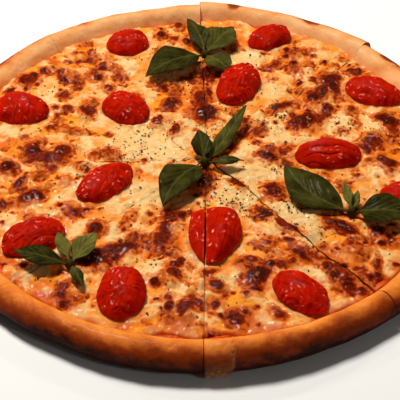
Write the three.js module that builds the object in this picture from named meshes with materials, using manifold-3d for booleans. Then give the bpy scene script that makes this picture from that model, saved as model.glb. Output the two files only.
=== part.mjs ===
// A margherita pizza about 300 mm across, cut in eight slices that still lie together.
// Each slice has a baked dough base with a raised rim, a thin layer of tomato sauce that shows
// at the rim and in the cuts, and a layer of melted cheese with browned blisters.
// Halved cherry tomatoes and sprigs of basil lie on the cheese.
// Millimetres, +Z up. The origin is the middle of the round, on the surface the pizza lies on.
// The cuts are named by where they run: the front is -Y, the right is +X.
import * as THREE from "three";
import { mergeVertices } from "three/addons/utils/BufferGeometryUtils.js";
import Module from "manifold-3d";

const wasm = await Module();
wasm.setup();

// Driving sizes of the whole
const pizzaRadius = 150;
const rimInnerRadius = 132;
const rimHeight = 17.5;
const baseThickness = 5;
const sauceThickness = 1.3;
const cheeseTop = 12.2;
const contactGap = 0.3;
const cutWidth = 1;
const cutCentre = new THREE.Vector2(4, -1);

// Finishes
const finishes = {
  crust: { color: "#c9853f", roughness: 0.75 },
  sauce: { color: "#b5300f", roughness: 0.4 },
  cheese: { color: "#eecb86", roughness: 0.4 },
  tomato: { color: "#b3150c", roughness: 0.25 },
  basil: { color: "#2f3f18", roughness: 0.5 },
};

// The slices, anticlockwise from the cut that runs to the front. from and to are the directions
// of a slice's two cuts in degrees. push is how far the slice was drawn outwards.
const slices = [
  { name: "front_right", from: -90.5, to: -50, push: 0 },
  { name: "right_front", from: -50, to: 4, push: 0 },
  { name: "right_back", from: 4, to: 47, push: 0 },
  { name: "back_right", from: 47, to: 92, push: 3.6 },
  { name: "back_left", from: 92, to: 131.5, push: 0 },
  { name: "left_back", from: 131.5, to: 182.5, push: 0 },
  { name: "left_front", from: 182.5, to: 225.3, push: 0 },
  { name: "front_left", from: 225.3, to: 269.5, push: 0 },
];

// Where the molten cheese drew a cut aside: one wave of this sway and length from the middle out.
const cutSways = {
  131.5: { sway: 4.6, length: 72 },
  "-50": { sway: 1.5, length: 105 },
};

// Halved cherry tomatoes, cut side down: middle, length, width, turn in degrees and height.
// taper is how much wider the end that the turn points to is, as a share of the width.
const tomatoes = [
  { name: "back_left", x: -45, y: 108, length: 27, width: 24, turn: 30, height: 9 },
  { name: "left", x: -104, y: 41, length: 34, width: 26, turn: 170, height: 10, taper: 0.12 },
  { name: "left_of_middle", x: -43, y: 42, length: 31, width: 25, turn: 140, height: 10 },
  { name: "back_right", x: 43, y: 115, length: 30, width: 21, turn: 33, height: 9 },
  { name: "behind_middle", x: 23, y: 66, length: 40, width: 25, turn: 70, height: 11 },
  { name: "right_back", x: 103, y: 60, length: 36, width: 23, turn: 153, height: 9, taper: 0.1 },
  { name: "right_of_middle", x: 72, y: 2, length: 38, width: 23, turn: 3, height: 10 },
  { name: "front_of_middle_left", x: -51, y: -23, length: 38, width: 22, turn: 46, height: 9 },
  { name: "left_front", x: -86, y: -67, length: 35, width: 25, turn: 32, height: 10 },
  { name: "front_left", x: -38, y: -106, length: 35, width: 25, turn: 86, height: 11 },
  { name: "front_right", x: 51, y: -105, length: 34, width: 22, turn: 133, height: 9.5 },
  { name: "right_front", x: 110, y: -33, length: 28, width: 22, turn: 15, height: 9 },
];
// The tomato half that the front cut runs through.
const cutTomato = { x: 8, y: -64, length: 43, width: 28, turn: 84, height: 11, taper: 0.28 };

// The large browned blisters of the cheese: middle, radius and height.
const blisters = [
  [-93, 6, 6, 2.2], [-77, 5, 5, 2], [-88, -32, 7, 2.4], [-50, 1, 6, 2.4],
  [-80, 56, 5, 1.8], [-66, 38, 5, 1.8], [-104, 73, 7, 2], [-52, -82, 9, 3],
  [-35, -76, 5, 2], [-16, -56, 6, 2.2], [-18, -68, 6, 2.2], [-14, -93, 8, 2.8],
  [-6, -114, 8, 2.8], [10, -92, 6, 2], [33, -92, 9, 2.8], [20, -121, 6, 2],
  [40, 7, 7, 3], [40, -27, 7, 2.6], [64, 34, 9, 2.6], [80, 74, 7, 2.4],
  [98, 18, 8, 2.8], [82, -74, 7, 2.6], [96, -60, 6, 2.4], [74, -91, 7, 2],
  [52, 48, 6, 2], [-20, 72, 6, 2], [-70, 84, 6, 1.8], [-22, 30, 5, 1.8],
  [-110, -4, 6, 1.8], [-64, -104, 6, 1.8], [118, -6, 6, 2], [60, -62, 6, 1.8],
];

// Basil sprigs: the middle of each sprig, the height of the knob where its leaves meet, and its
// leaves, each by where its tip points, its length and width, how far its middle is bent to the
// left, and how far its root, middle and tip stand above the lowest root.
const sprigs = [
  {
    name: "back", x: 3, y: 95, knob: 6,
    leaves: [
      { turn: 111, length: 32, width: 13, bend: -2, rise: [1, 5, 7] },
      { turn: 56, length: 31, width: 22, rise: [1, 4, 4] },
      { turn: -52, length: 25, width: 17, rise: [1, 3.5, 2.5] },
      { turn: -144, length: 44, width: 24, bend: -1.5, rise: [1, 5, 3] },
    ],
  },
  {
    name: "middle", x: 3, y: -8, knob: 7,
    leaves: [
      { turn: 99, length: 21, width: 12, rise: [2.5, 6, 8] },
      { turn: 61, length: 49, width: 10, rise: [0, 3, 9] },
      { turn: -121, length: 43, width: 21, bend: -3, rise: [1, 5, 3] },
      { turn: -3, length: 22, width: 7, rise: [1, 4, 4.5] },
    ],
  },
  {
    name: "right", x: 81, y: -47, knob: 7,
    leaves: [
      { turn: 134, length: 49, width: 24, bend: 6, rise: [0.5, 2.5, 5] },
      { turn: 103, length: 16, width: 5.5, rise: [3.2, 7, 9] },
      { turn: 72, length: 13, width: 5.5, rise: [1, 3.5, 6] },
      { turn: -9, length: 34, width: 23, rise: [1, 5, 4] },
    ],
  },
  {
    name: "left", x: -65, y: -88, knob: 6.5,
    leaves: [
      { turn: 113, length: 20, width: 7.5, rise: [3, 6.5, 6] },
      { turn: 54, length: 22, width: 12, rise: [1, 6, 7] },
      { turn: 169, length: 30, width: 13, rise: [1, 4.5, 5.5] },
      { turn: -64, length: 18, width: 6.5, rise: [1, 3.5, 2] },
    ],
  },
];

// Fineness of the meshes
const doughColumns = 12;
const sauceColumns = 10;
const cheeseColumns = 14;
const cheeseRows = 13;
const tomatoColumns = 14;
const tomatoRows = 4;
const leafRows = 6;
const leafColumns = 4;
const flecksPerSlice = 4;
const sliverSize = 0.3;

// A fleck's foot as a share of the face that it stands on, its height, the ring of the pizza in
// which flecks stand, and how steep and how near to a topping their place may be.
const fleckShare = 0.22;
const fleckHeight = 0.8;
const fleckRing = { from: 25, to: 118 };
const fleckSteepness = 0.8;
const fleckNearness = 0.3;

// Basil: the leaf's thickness, the breadth and place of its root, the share of its length that
// is stalk, the knob where a sprig's leaves meet, how steeply a leaf's halves fold up from the
// midrib, and how high the leaves leave the knob over the seat. The lower its fullness, the
// nearer to its root a leaf is broadest.
const leafThickness = 1.1;
const leafRoot = 0.9;
const leafStart = 1.5;
const stalkShare = 0.08;
const knobRadius = 2.8;
const leafFold = 0.3;
const sprigLevel = 2.2;
const leafFullness = 0.78;

const radians = THREE.MathUtils.degToRad;
const smooth = THREE.MathUtils.smoothstep;

// Small sums

function seededRandom(seed) {
  let state = seed;
  return () => {
    state = (state * 1664525 + 1013904223) % 4294967296;
    return state / 4294967296;
  };
}

function directionOf(degrees) {
  return new THREE.Vector2(Math.cos(radians(degrees)), Math.sin(radians(degrees)));
}

// How far a place lies along and across a turned ellipse, in half-lengths and half-widths.
function insideEllipse(x, y, ellipse) {
  const axis = directionOf(ellipse.turn);
  const dx = x - ellipse.x;
  const dy = y - ellipse.y;
  const along = (dx * axis.x + dy * axis.y) / (ellipse.length / 2);
  const across = (dy * axis.x - dx * axis.y) / (ellipse.width / 2);
  return { along, across, distance: Math.hypot(along, across) };
}

// Solids from points and triangles

function solidOf(points, triangles) {
  const geometry = new THREE.BufferGeometry();
  const flat = points.flatMap((p) => [p.x, p.y, p.z]);
  geometry.setAttribute("position", new THREE.Float32BufferAttribute(flat, 3));
  geometry.setIndex(triangles.flat());
  return solidOfGeometry(geometry);
}

function solidOfGeometry(geometry) {
  const bare = geometry.clone();
  bare.deleteAttribute("normal");
  bare.deleteAttribute("uv");
  const merged = mergeVertices(bare, 1e-4);
  return solidOfCorners(merged.attributes.position.array, merged.index.array);
}

// The closed solid of a list of corners, without the triangles that have no area.
function solidOfCorners(positions, corners) {
  const kept = [];
  for (let i = 0; i < corners.length; i += 3) {
    const [a, b, c] = [corners[i], corners[i + 1], corners[i + 2]];
    if (a !== b && b !== c && c !== a) {
      kept.push(a, b, c);
    }
  }
  const vertProperties = new Float32Array(positions);
  const triVerts = new Uint32Array(kept);
  return new wasm.Manifold(new wasm.Mesh({ numProp: 3, vertProperties, triVerts }));
}

// A joined or cut solid without the slivers that the join leaves along its seams: the ends of
// each edge shorter than sliverSize become one point.
function cleaned(solid) {
  const { vertProperties, triVerts } = solid.asOriginal().simplify(sliverSize / 2).getMesh();
  const pointAt = (k) => new THREE.Vector3().fromArray(vertProperties, 3 * k);
  const keptAs = Array.from({ length: vertProperties.length / 3 }, (_, k) => k);
  const find = (k) => (keptAs[k] === k ? k : find(keptAs[k]));
  for (let i = 0; i < triVerts.length; i++) {
    const [a, b] = [triVerts[i], triVerts[i % 3 === 2 ? i - 2 : i + 1]];
    if (pointAt(a).distanceTo(pointAt(b)) < sliverSize) {
      keptAs[find(b)] = find(a);
    }
  }
  return solidOfCorners(vertProperties, [...triVerts].map(find));
}

function geometryOfSolid(solid) {
  const made = solid.getMesh();
  const geometry = new THREE.BufferGeometry();
  const count = made.vertProperties.length / made.numProp;
  const positions = new Float32Array(count * 3);
  for (let i = 0; i < count; i++) {
    positions.set(made.vertProperties.subarray(i * made.numProp, i * made.numProp + 3), i * 3);
  }
  geometry.setAttribute("position", new THREE.BufferAttribute(positions, 3));
  geometry.setIndex(new THREE.BufferAttribute(new Uint32Array(made.triVerts), 1));
  geometry.computeVertexNormals();
  return geometry;
}

function meshOf(name, solid, finish) {
  const material = new THREE.MeshStandardMaterial({ ...finishes[finish], metalness: 0 });
  const mesh = new THREE.Mesh(geometryOfSolid(solid), material);
  mesh.name = name;
  return mesh;
}

// The wedge of a slice

// The tip of a slice stands back from the middle, so that half the cut's width is left free
// beside each of its two sides.
function apexOf(slice) {
  const half = (slice.to - slice.from) / 2;
  const middle = directionOf((slice.from + slice.to) / 2);
  return cutCentre.clone().addScaledVector(middle, cutWidth / 2 / Math.sin(radians(half)));
}

function pushOf(slice) {
  return directionOf((slice.from + slice.to) / 2).multiplyScalar(slice.push);
}

// The distance from a slice's tip, in one direction, to a circle round the pizza's middle.
function reachTo(apex, direction, radius) {
  const along = apex.dot(direction);
  return -along + Math.sqrt(along * along - apex.lengthSq() + radius * radius);
}

// The sideways turn, in degrees, that a cut's sway gives at a distance from the tip.
function swayTurn(cut, distance) {
  const bend = cutSways[cut > 180 ? cut - 360 : cut];
  if (!bend || distance < 1 || distance > bend.length) {
    return 0;
  }
  const offset = bend.sway * Math.sin((2 * Math.PI * distance) / bend.length);
  return THREE.MathUtils.radToDeg(offset / Math.max(distance, bend.length / 8));
}

// The uneven edge of the hand-made dough: how far its outline and its height stray.
function outlineWave(turn) {
  return 0.7 * Math.sin(3 * turn + 0.5) + 0.4 * Math.sin(8 * turn + 2.1) + 0.3 * Math.sin(13 * turn);
}

function heightWave(turn) {
  return 0.7 * Math.sin(4 * turn + 1.2) + 0.5 * Math.sin(9 * turn + 0.3) + 0.3 * Math.sin(17 * turn);
}

// The torn lip of dough that was dragged out and down by the cutter at the front cut.
function tornLip(place) {
  const fromCut = place.x - cutCentre.x;
  const atFront = place.y < 0 ? 1 : 0;
  return atFront * smooth(fromCut, -0.5, 0.5) * (1 - smooth(fromCut, 9, 15));
}

// The outline of the dough's section from the underside round the rim to the top of the base.
// wave says how much of the outline's wave a point takes, swell how much of the height's.
const doughSection = [
  { radius: 140, height: 0, wave: 0.3, swell: 0, lip: 0 },
  { radius: 145, height: 0.9, wave: 1, swell: 0, lip: 2.2 },
  { radius: 148.6, height: 4, wave: 1, swell: 0.2, lip: 2 },
  { radius: pizzaRadius, height: 8.4, wave: 1, swell: 0.4, lip: 0.5 },
  { radius: 149.2, height: 12.4, wave: 1, swell: 0.8, lip: 0.2 },
  { radius: 146.4, height: 16, wave: 0.8, swell: 1, lip: 0 },
  { radius: 142.2, height: rimHeight, wave: 0.6, swell: 1, lip: 0 },
  { radius: 138.2, height: 15.8, wave: 0.3, swell: 0.8, lip: 0 },
  { radius: 135, height: 11.5, wave: 0, swell: 0.2, lip: 0 },
  { radius: rimInnerRadius, height: baseThickness, wave: 0, swell: 0, lip: 0 },
];

const sauceBottom = baseThickness + contactGap;
const sauceTop = sauceBottom + sauceThickness;
const sauceSection = [
  { radius: 131.4, height: sauceBottom },
  { radius: 134, height: 10.9 },
  { radius: 132.6, height: 11.3 },
  { radius: 129.8, height: sauceTop },
];

// A wedge swept from a section: columns fan out from the tip, and the two sides are flat.
function sweptWedge(slice, section, columns, low, high, shape) {
  const apex = apexOf(slice);
  const push = pushOf(slice);
  const points = [];
  const triangles = [];
  const rowLength = section.length;
  for (let i = 0; i <= columns; i++) {
    const direction = directionOf(slice.from + ((slice.to - slice.from) * i) / columns);
    for (const point of section) {
      const bare = apex.clone().addScaledVector(direction, reachTo(apex, direction, point.radius));
      const { radius, height } = shape(point, bare);
      const place = apex.clone().addScaledVector(direction, reachTo(apex, direction, radius));
      points.push(new THREE.Vector3(place.x + push.x, place.y + push.y, height));
    }
  }
  const bottomTip = points.push(new THREE.Vector3(apex.x + push.x, apex.y + push.y, low)) - 1;
  const topTip = points.push(new THREE.Vector3(apex.x + push.x, apex.y + push.y, high)) - 1;
  for (let i = 0; i < columns; i++) {
    const here = i * rowLength;
    const next = here + rowLength;
    triangles.push([bottomTip, next, here]);
    triangles.push([topTip, here + rowLength - 1, next + rowLength - 1]);
    for (let j = 0; j < rowLength - 1; j++) {
      triangles.push([here + j, next + j, next + j + 1]);
      triangles.push([here + j, next + j + 1, here + j + 1]);
    }
  }
  const flat = section.map((p) => new THREE.Vector2(p.radius, p.height));
  const contour = [new THREE.Vector2(0, low), ...flat, new THREE.Vector2(0, high)];
  for (const [a, b, c] of THREE.ShapeUtils.triangulateShape(contour, [])) {
    const side = (column) => (k) =>
      k === 0 ? bottomTip : k === contour.length - 1 ? topTip : column * rowLength + k - 1;
    const first = side(0);
    const last = side(columns);
    triangles.push([first(a), first(b), first(c)]);
    triangles.push([last(a), last(c), last(b)]);
  }
  return solidOf(points, triangles);
}

function doughSlice(slice) {
  const shape = (point, bare) => {
    const turn = Math.atan2(bare.y, bare.x);
    return {
      radius: point.radius + point.wave * outlineWave(turn) + point.lip * tornLip(bare),
      height: point.height + point.swell * heightWave(turn),
    };
  };
  return sweptWedge(slice, doughSection, doughColumns, 0, baseThickness, shape);
}

function sauceSlice(slice) {
  return sweptWedge(slice, sauceSection, sauceColumns, sauceBottom, sauceTop, (point) => point);
}

// The cheese

const cheeseBottom = sauceTop + contactGap;
const cheeseEdge = 129.6;
const cheeseLipHeight = 8.6;
const edgeSlope = 1.2;
const cutSag = 0.5;
const seatHeight = 11.8;
const seatMargin = 9;

// Long, low swells of the melted cheese, and the lumps left by its shreds.
function cheeseSwell(x, y) {
  const long = Math.sin(x * 0.061 + 1.3) * Math.cos(y * 0.053 - 0.6);
  const short = Math.sin(x * 0.21 + y * 0.11) * Math.sin(y * 0.19 - x * 0.07 + 2);
  return 0.5 * long + 0.55 * short;
}

function blisterHeight(x, y) {
  let highest = 0;
  for (const [bx, by, radius, height] of blisters) {
    const d = Math.hypot(x - bx, y - by) / (radius * 1.15);
    if (d < 1) {
      highest = Math.max(highest, height * (1 - d * d));
    }
  }
  return highest;
}

// 1 in the flat seat of a topping, falling to 0 outside it.
function seatShare(x, y) {
  let share = 0;
  for (const tomato of [...tomatoes, cutTomato]) {
    const wide = {
      ...tomato,
      length: tomato.length + 2 * seatMargin,
      width: tomato.width + 2 * seatMargin,
    };
    share = Math.max(share, 1 - smooth(insideEllipse(x, y, wide).distance, 0.95, 1.15));
  }
  for (const sprig of sprigs) {
    share = Math.max(share, 1 - smooth(Math.hypot(x - sprig.x, y - sprig.y), 12, 17));
  }
  return share;
}

function cheeseHeight(x, y) {
  const free = cheeseTop + cheeseSwell(x, y) + blisterHeight(x, y);
  return THREE.MathUtils.lerp(free, Math.min(free, seatHeight), seatShare(x, y));
}

function cheeseSlice(slice, random) {
  const apex = apexOf(slice);
  const push = pushOf(slice);
  const edgeRow = cheeseRows;
  const lipRow = cheeseRows + 1;
  const points = [];
  const triangles = [];
  const add = (x, y, z) => points.push(new THREE.Vector3(x, y, z)) - 1;

  const placeAt = (share, i, radius) => {
    const part = i / cheeseColumns;
    const straight = directionOf(slice.from + (slice.to - slice.from) * part);
    const distance = share * reachTo(apex, straight, radius);
    const from = slice.from + swayTurn(slice.from, distance);
    const to = slice.to + swayTurn(slice.to, distance);
    const direction = directionOf(from + (to - from) * part);
    return apex.clone().addScaledVector(direction, distance).add(push);
  };

  const topTip = add(apex.x + push.x, apex.y + push.y, cheeseHeight(apex.x, apex.y) - cutSag);
  const bottomTip = add(apex.x + push.x, apex.y + push.y, cheeseBottom);
  const top = [];
  for (let j = 1; j <= edgeRow; j++) {
    const share = Math.pow(j / cheeseRows, 0.9);
    const row = [];
    for (let i = 0; i <= cheeseColumns; i++) {
      const place = placeAt(share, i, cheeseEdge - edgeSlope);
      const cutDip = i === 0 || i === cheeseColumns ? cutSag : 0;
      const edgeDip = j === edgeRow ? edgeSlope : 0;
      row.push(add(place.x, place.y, cheeseHeight(place.x, place.y) - cutDip - edgeDip));
    }
    top.push(row);
  }
  const lip = [];
  for (let i = 0; i <= cheeseColumns; i++) {
    const place = placeAt(1, i, cheeseEdge);
    lip.push(add(place.x, place.y, cheeseLipHeight));
  }
  top.push(lip);
  const foot = [];
  for (let i = 0; i <= cheeseColumns; i++) {
    const place = placeAt(1, i, cheeseEdge - edgeSlope);
    foot.push(add(place.x, place.y, cheeseBottom));
  }

  for (let i = 0; i < cheeseColumns; i++) {
    for (let j = 0; j < lipRow - 1; j++) {
      const [a, b, c, d] = [top[j][i], top[j + 1][i], top[j + 1][i + 1], top[j][i + 1]];
      triangles.push(...((i + j) % 2 ? [[a, b, c], [a, c, d]] : [[a, b, d], [b, c, d]]));
    }
  }
  addFlecks(points, triangles, triangles.length, random);
  for (let i = 0; i < cheeseColumns; i++) {
    triangles.push([topTip, top[0][i], top[0][i + 1]]);
    triangles.push([lip[i], foot[i], foot[i + 1]], [lip[i], foot[i + 1], lip[i + 1]]);
  }

  // The two sides stand upright under the edges of the top, and the underside is flat.
  const under = [0, cheeseColumns].map((i) => {
    const column = [];
    for (let j = 0; j < edgeRow - 1; j++) {
      const above = points[top[j][i]];
      column.push(add(above.x, above.y, cheeseBottom));
    }
    column.push(foot[i]);
    return column;
  });
  [0, cheeseColumns].forEach((i, side) => {
    const wall = [];
    wall.push([bottomTip, under[side][0], top[0][i]], [bottomTip, top[0][i], topTip]);
    for (let j = 0; j < edgeRow - 1; j++) {
      wall.push([under[side][j], under[side][j + 1], top[j + 1][i]]);
      wall.push([under[side][j], top[j + 1][i], top[j][i]]);
    }
    wall.push([foot[i], lip[i], top[edgeRow - 1][i]]);
    triangles.push(...wall.map(([a, b, c]) => (side === 0 ? [a, b, c] : [a, c, b])));
  });
  const [near, far] = under;
  triangles.push([bottomTip, far[0], near[0]]);
  for (let j = 0; j < edgeRow - 2; j++) {
    triangles.push([near[j], far[j], far[j + 1]], [near[j], far[j + 1], near[j + 1]]);
  }
  const last = edgeRow - 2;
  triangles.push([near[last], far[last], foot[cheeseColumns]]);
  for (let i = cheeseColumns; i > 0; i--) {
    triangles.push([near[last], foot[i], foot[i - 1]]);
  }
  return solidOf(points, triangles);
}

// The largest flecks of dried herb stand on the cheese as small tents, clear of the toppings.
// A face of the top is parted round the fleck's foot, so that fleck and cheese are one solid.
function addFlecks(points, triangles, topFaces, random) {
  let left = flecksPerSlice;
  while (left > 0) {
    const chosen = Math.floor(random() * topFaces);
    const corners = triangles[chosen].map((k) => points[k]);
    const middle = corners.reduce((sum, p) => sum.add(p), new THREE.Vector3()).divideScalar(3);
    const steep = Math.max(...corners.map((p) => Math.abs(p.z - middle.z)));
    const inRing = middle.length() > fleckRing.from && middle.length() < fleckRing.to;
    const onSeat = seatShare(middle.x, middle.y) > fleckNearness;
    if (triangles[chosen].fleck || steep > fleckSteepness || !inRing || onSeat) {
      continue;
    }
    const foot = corners.map((p) => points.push(middle.clone().lerp(p, fleckShare)) - 1);
    const tip = points.push(middle.clone().setZ(middle.z + fleckHeight)) - 1;
    const outer = triangles[chosen];
    const parted = [];
    for (let k = 0; k < 3; k++) {
      const next = (k + 1) % 3;
      parted.push([outer[k], outer[next], foot[next]], [outer[k], foot[next], foot[k]]);
      parted.push([foot[k], foot[next], tip]);
    }
    triangles[chosen] = parted.pop();
    triangles[chosen].fleck = true;
    triangles.push(...parted);
    left -= 1;
  }
}

// The tomatoes

// The wrinkled skin: how far it is drawn in at a place on the half, and its lengthwise furrows.
function skinWrinkle(turn, level, seed) {
  return 0.035 * Math.sin(5 * turn + seed) + 0.03 * Math.sin(3 * turn - 2 * level + 2 * seed);
}

function furrow(across, seed) {
  return 0.07 * Math.cos(across * 7.5 + seed) * (1 - across * across);
}

function tomatoSolid(tomato, seed, pressedAlong) {
  const axis = directionOf(tomato.turn);
  const floor = seatHeight + contactGap;
  const points = [];
  const triangles = [];
  const levels = [];
  const rise = [0, 0.22, 0.48, 0.74, 0.92];
  const girth = [0.93, 1, 0.88, 0.64, 0.36];
  const place = (along, across, up) => {
    const x = tomato.x + along * axis.x - across * axis.y;
    const y = tomato.y + along * axis.y + across * axis.x;
    const pressed = pressedAlong ? pressedAlong(x) : 0;
    return new THREE.Vector3(x, y, floor + up * tomato.height * (1 - pressed));
  };
  for (let level = 0; level <= tomatoRows; level++) {
    const ring = [];
    for (let i = 0; i < tomatoColumns; i++) {
      const turn = (2 * Math.PI * i) / tomatoColumns;
      const width = girth[level] * (1 + (level ? skinWrinkle(turn, level, seed) : 0));
      const along = Math.cos(turn) * width;
      const across = Math.sin(turn) * width * (1 + (tomato.taper ?? 0) * along);
      const up = rise[level] * (1 + (level > 1 ? furrow(across, seed) : 0));
      ring.push(
        points.push(place((along * tomato.length) / 2, (across * tomato.width) / 2, up)) - 1,
      );
    }
    levels.push(ring);
  }
  const crown = points.push(place(0, 0, 1 + furrow(0, seed) * 0.5)) - 1;
  const base = points.push(place(0, 0, 0)) - 1;
  for (let i = 0; i < tomatoColumns; i++) {
    const k = (i + 1) % tomatoColumns;
    triangles.push([base, levels[0][k], levels[0][i]]);
    triangles.push([crown, levels[tomatoRows][i], levels[tomatoRows][k]]);
    for (let level = 0; level < tomatoRows; level++) {
      const [low, high] = [levels[level], levels[level + 1]];
      triangles.push([low[i], low[k], high[k]], [low[i], high[k], high[i]]);
    }
  }
  return solidOf(points, triangles);
}

// The height of the tomatoes' skins over a place, for the leaves that lie on them.
function tomatoTopAt(x, y) {
  let top = 0;
  for (const tomato of [...tomatoes, cutTomato]) {
    const { distance } = insideEllipse(x, y, tomato);
    if (distance < 1.12) {
      const share = Math.sqrt(Math.max(0, 1.25 - distance * distance));
      top = Math.max(top, seatHeight + contactGap + tomato.height * Math.min(1.08, share));
    }
  }
  return top;
}

// One half of the tomato that the front cut parts: everything on one side of the cut.
function cutTomatoPiece(side) {
  const pressed = (x) => 0.45 * Math.exp(-(((x - cutCentre.x + 0.4) / 4) ** 2));
  const whole = tomatoSolid(cutTomato, 4, pressed);
  const block = new THREE.BoxGeometry(60, 80, 40);
  const cutAt = cutCentre.x + (cutTomato.y - cutCentre.y) * Math.tan(radians(0.5));
  block.translate(side * (30 + cutWidth / 2), 0, 0);
  block.rotateZ(radians(-0.5));
  block.translate(cutAt, cutTomato.y, seatHeight);
  return cleaned(whole.intersect(solidOfGeometry(block)));
}

// The basil

// Half the breadth of a leaf along its midrib, from its root at 0 to its pointed tip at 1.
// The blade starts after a short stalk and is broadest before its middle.
function leafBreadth(share) {
  const blade = Math.max(0, (share - stalkShare) / (1 - stalkShare));
  return Math.sin(Math.PI * Math.pow(blade, leafFullness));
}

// The lowest level that a leaf may have over a place, clear of the cheese and the tomatoes.
function restLevel(x, y) {
  const aside = 4;
  let top = tomatoTopAt(x, y);
  for (const [dx, dy] of [[0, 0], [aside, 0], [-aside, 0], [0, aside], [0, -aside]]) {
    top = Math.max(top, cheeseHeight(x + dx, y + dy));
  }
  return top + leafThickness;
}

// A thin, wavy leaf: its upper and lower faces meet at its edge and have the same triangles.
function leafSolid(sprig, leaf, seed) {
  const axis = directionOf(leaf.turn);
  const columns = leaf.width < 10 ? 2 : leafColumns;
  const [rootRise, middleRise, tipRise] = leaf.rise;
  const bow = 4 * (middleRise - (rootRise + tipRise) / 2);
  const bend = 4 * (leaf.bend ?? 0);
  const points = [];
  const upper = [];
  const lower = [];
  for (let j = 0; j <= leafRows; j++) {
    const share = j / leafRows;
    const along = leafStart + share * (leaf.length - leafStart);
    const half = Math.max(j < leafRows ? leafRoot : 0, (leafBreadth(share) * leaf.width) / 2);
    const rise = THREE.MathUtils.lerp(rootRise, tipRise, share) + bow * share * (1 - share);
    upper.push([]);
    lower.push([]);
    for (let i = 0; i <= columns; i++) {
      const across = (2 * i) / columns - 1;
      const aside = across * half + bend * share * (1 - share);
      const x = sprig.x + along * axis.x - aside * axis.y;
      const y = sprig.y + along * axis.y + aside * axis.x;
      const ripple = 0.6 * Math.sin(9 * share + seed + 2 * across) * Math.abs(across);
      const fold = leafFold * Math.abs(across * half);
      const level = Math.max(seatHeight + sprigLevel + rise + fold + ripple, restLevel(x, y));
      const onEdge = i === 0 || i === columns || j === leafRows;
      const thick = onEdge ? 0 : leafThickness / 2;
      upper[j].push(points.push(new THREE.Vector3(x, y, level + thick)) - 1);
      lower[j].push(onEdge ? upper[j][i] : points.push(new THREE.Vector3(x, y, level - thick)) - 1);
    }
  }
  const triangles = [];
  for (let i = 0; i < columns; i++) {
    for (let j = 0; j < leafRows; j++) {
      const [a, b, c, d] = [upper[j][i], upper[j + 1][i], upper[j + 1][i + 1], upper[j][i + 1]];
      const [e, f, g, h] = [lower[j][i], lower[j + 1][i], lower[j + 1][i + 1], lower[j][i + 1]];
      triangles.push([a, b, c], [a, c, d], [e, g, f], [e, h, g]);
    }
    const [a, b, e, f] = [upper[0][i], upper[0][i + 1], lower[0][i], lower[0][i + 1]];
    triangles.push([e, a, b], [e, b, f]);
  }
  return solidOf(points, triangles);
}

// A sprig is one piece: its leaves grow from one knob, the end of its stem.
function sprigSolid(sprig, seed) {
  const knob = new THREE.SphereGeometry(knobRadius, 9, 6);
  knob.rotateX(Math.PI / 2);
  knob.scale(1, 1, sprig.knob / (2 * knobRadius));
  knob.translate(sprig.x, sprig.y, seatHeight + contactGap + sprig.knob / 2);
  const leaves = sprig.leaves.map((leaf, i) => leafSolid(sprig, leaf, seed + 1.7 * i));
  return cleaned(leaves.reduce((solid, leaf) => solid.add(leaf), solidOfGeometry(knob)));
}

// The pizza

const pizza = new THREE.Group();
const fleckDraw = seededRandom(7);

for (const slice of slices) {
  pizza.add(meshOf(`crust_${slice.name}`, doughSlice(slice), "crust"));
  pizza.add(meshOf(`sauce_${slice.name}`, sauceSlice(slice), "sauce"));
  pizza.add(meshOf(`cheese_${slice.name}`, cheeseSlice(slice, fleckDraw), "cheese"));
}
tomatoes.forEach((tomato, i) => {
  pizza.add(meshOf(`tomato_${tomato.name}`, tomatoSolid(tomato, 1.9 * i), "tomato"));
});
pizza.add(meshOf("tomato_front_cut_left", cutTomatoPiece(-1), "tomato"));
pizza.add(meshOf("tomato_front_cut_right", cutTomatoPiece(1), "tomato"));
sprigs.forEach((sprig, i) => {
  pizza.add(meshOf(`basil_${sprig.name}`, sprigSolid(sprig, 2.3 * i), "basil"));
});

export default pizza;
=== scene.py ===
# %% [markdown]
# # A margherita pizza, cut in eight slices
# The pizza comes out of the oven as one round, and a cutting wheel parts it into eight slices
# that stay lying together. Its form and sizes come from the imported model, in metres, with +Z up
# and the origin on the surface it lies on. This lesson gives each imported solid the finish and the
# fine relief of the real food. All sizes below are in millimetres until a mesh is made.

import math

import bmesh
import bpy
import numpy as np
from mathutils import Matrix, Vector
from mathutils.geometry import delaunay_2d_cdt


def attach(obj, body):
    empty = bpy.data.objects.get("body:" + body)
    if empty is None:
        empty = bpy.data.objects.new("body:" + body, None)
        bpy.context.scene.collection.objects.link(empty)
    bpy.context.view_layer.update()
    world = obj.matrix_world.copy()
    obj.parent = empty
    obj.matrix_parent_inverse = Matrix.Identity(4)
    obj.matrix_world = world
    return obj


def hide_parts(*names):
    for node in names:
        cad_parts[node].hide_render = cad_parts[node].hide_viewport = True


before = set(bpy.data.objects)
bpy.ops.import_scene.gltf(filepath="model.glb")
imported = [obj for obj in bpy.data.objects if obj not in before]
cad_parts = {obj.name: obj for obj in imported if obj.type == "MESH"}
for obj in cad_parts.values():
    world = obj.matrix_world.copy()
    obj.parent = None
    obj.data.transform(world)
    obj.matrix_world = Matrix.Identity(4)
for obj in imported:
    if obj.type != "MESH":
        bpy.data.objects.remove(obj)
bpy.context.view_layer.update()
scene = bpy.context.scene

# %% [markdown]
# ## Camera
# The photograph looks down on the pizza from the front. A camera needs a place, three axes and a
# focal length. The axes are written out as a matrix here, because a slight roll of the horizon is
# easier to give that way than with angles.

# %% Camera
FRAME_SIDE = 400
FOCAL_LENGTH = 1273.2
CAMERA_DISTANCE = 0.720
CAMERA_HEIGHT_ANGLE = math.radians(40.88)
LOOK_DOWN = math.radians(42.03)
ROLL = math.radians(-0.44)
CAMERA_ASIDE = 0.0006

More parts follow.
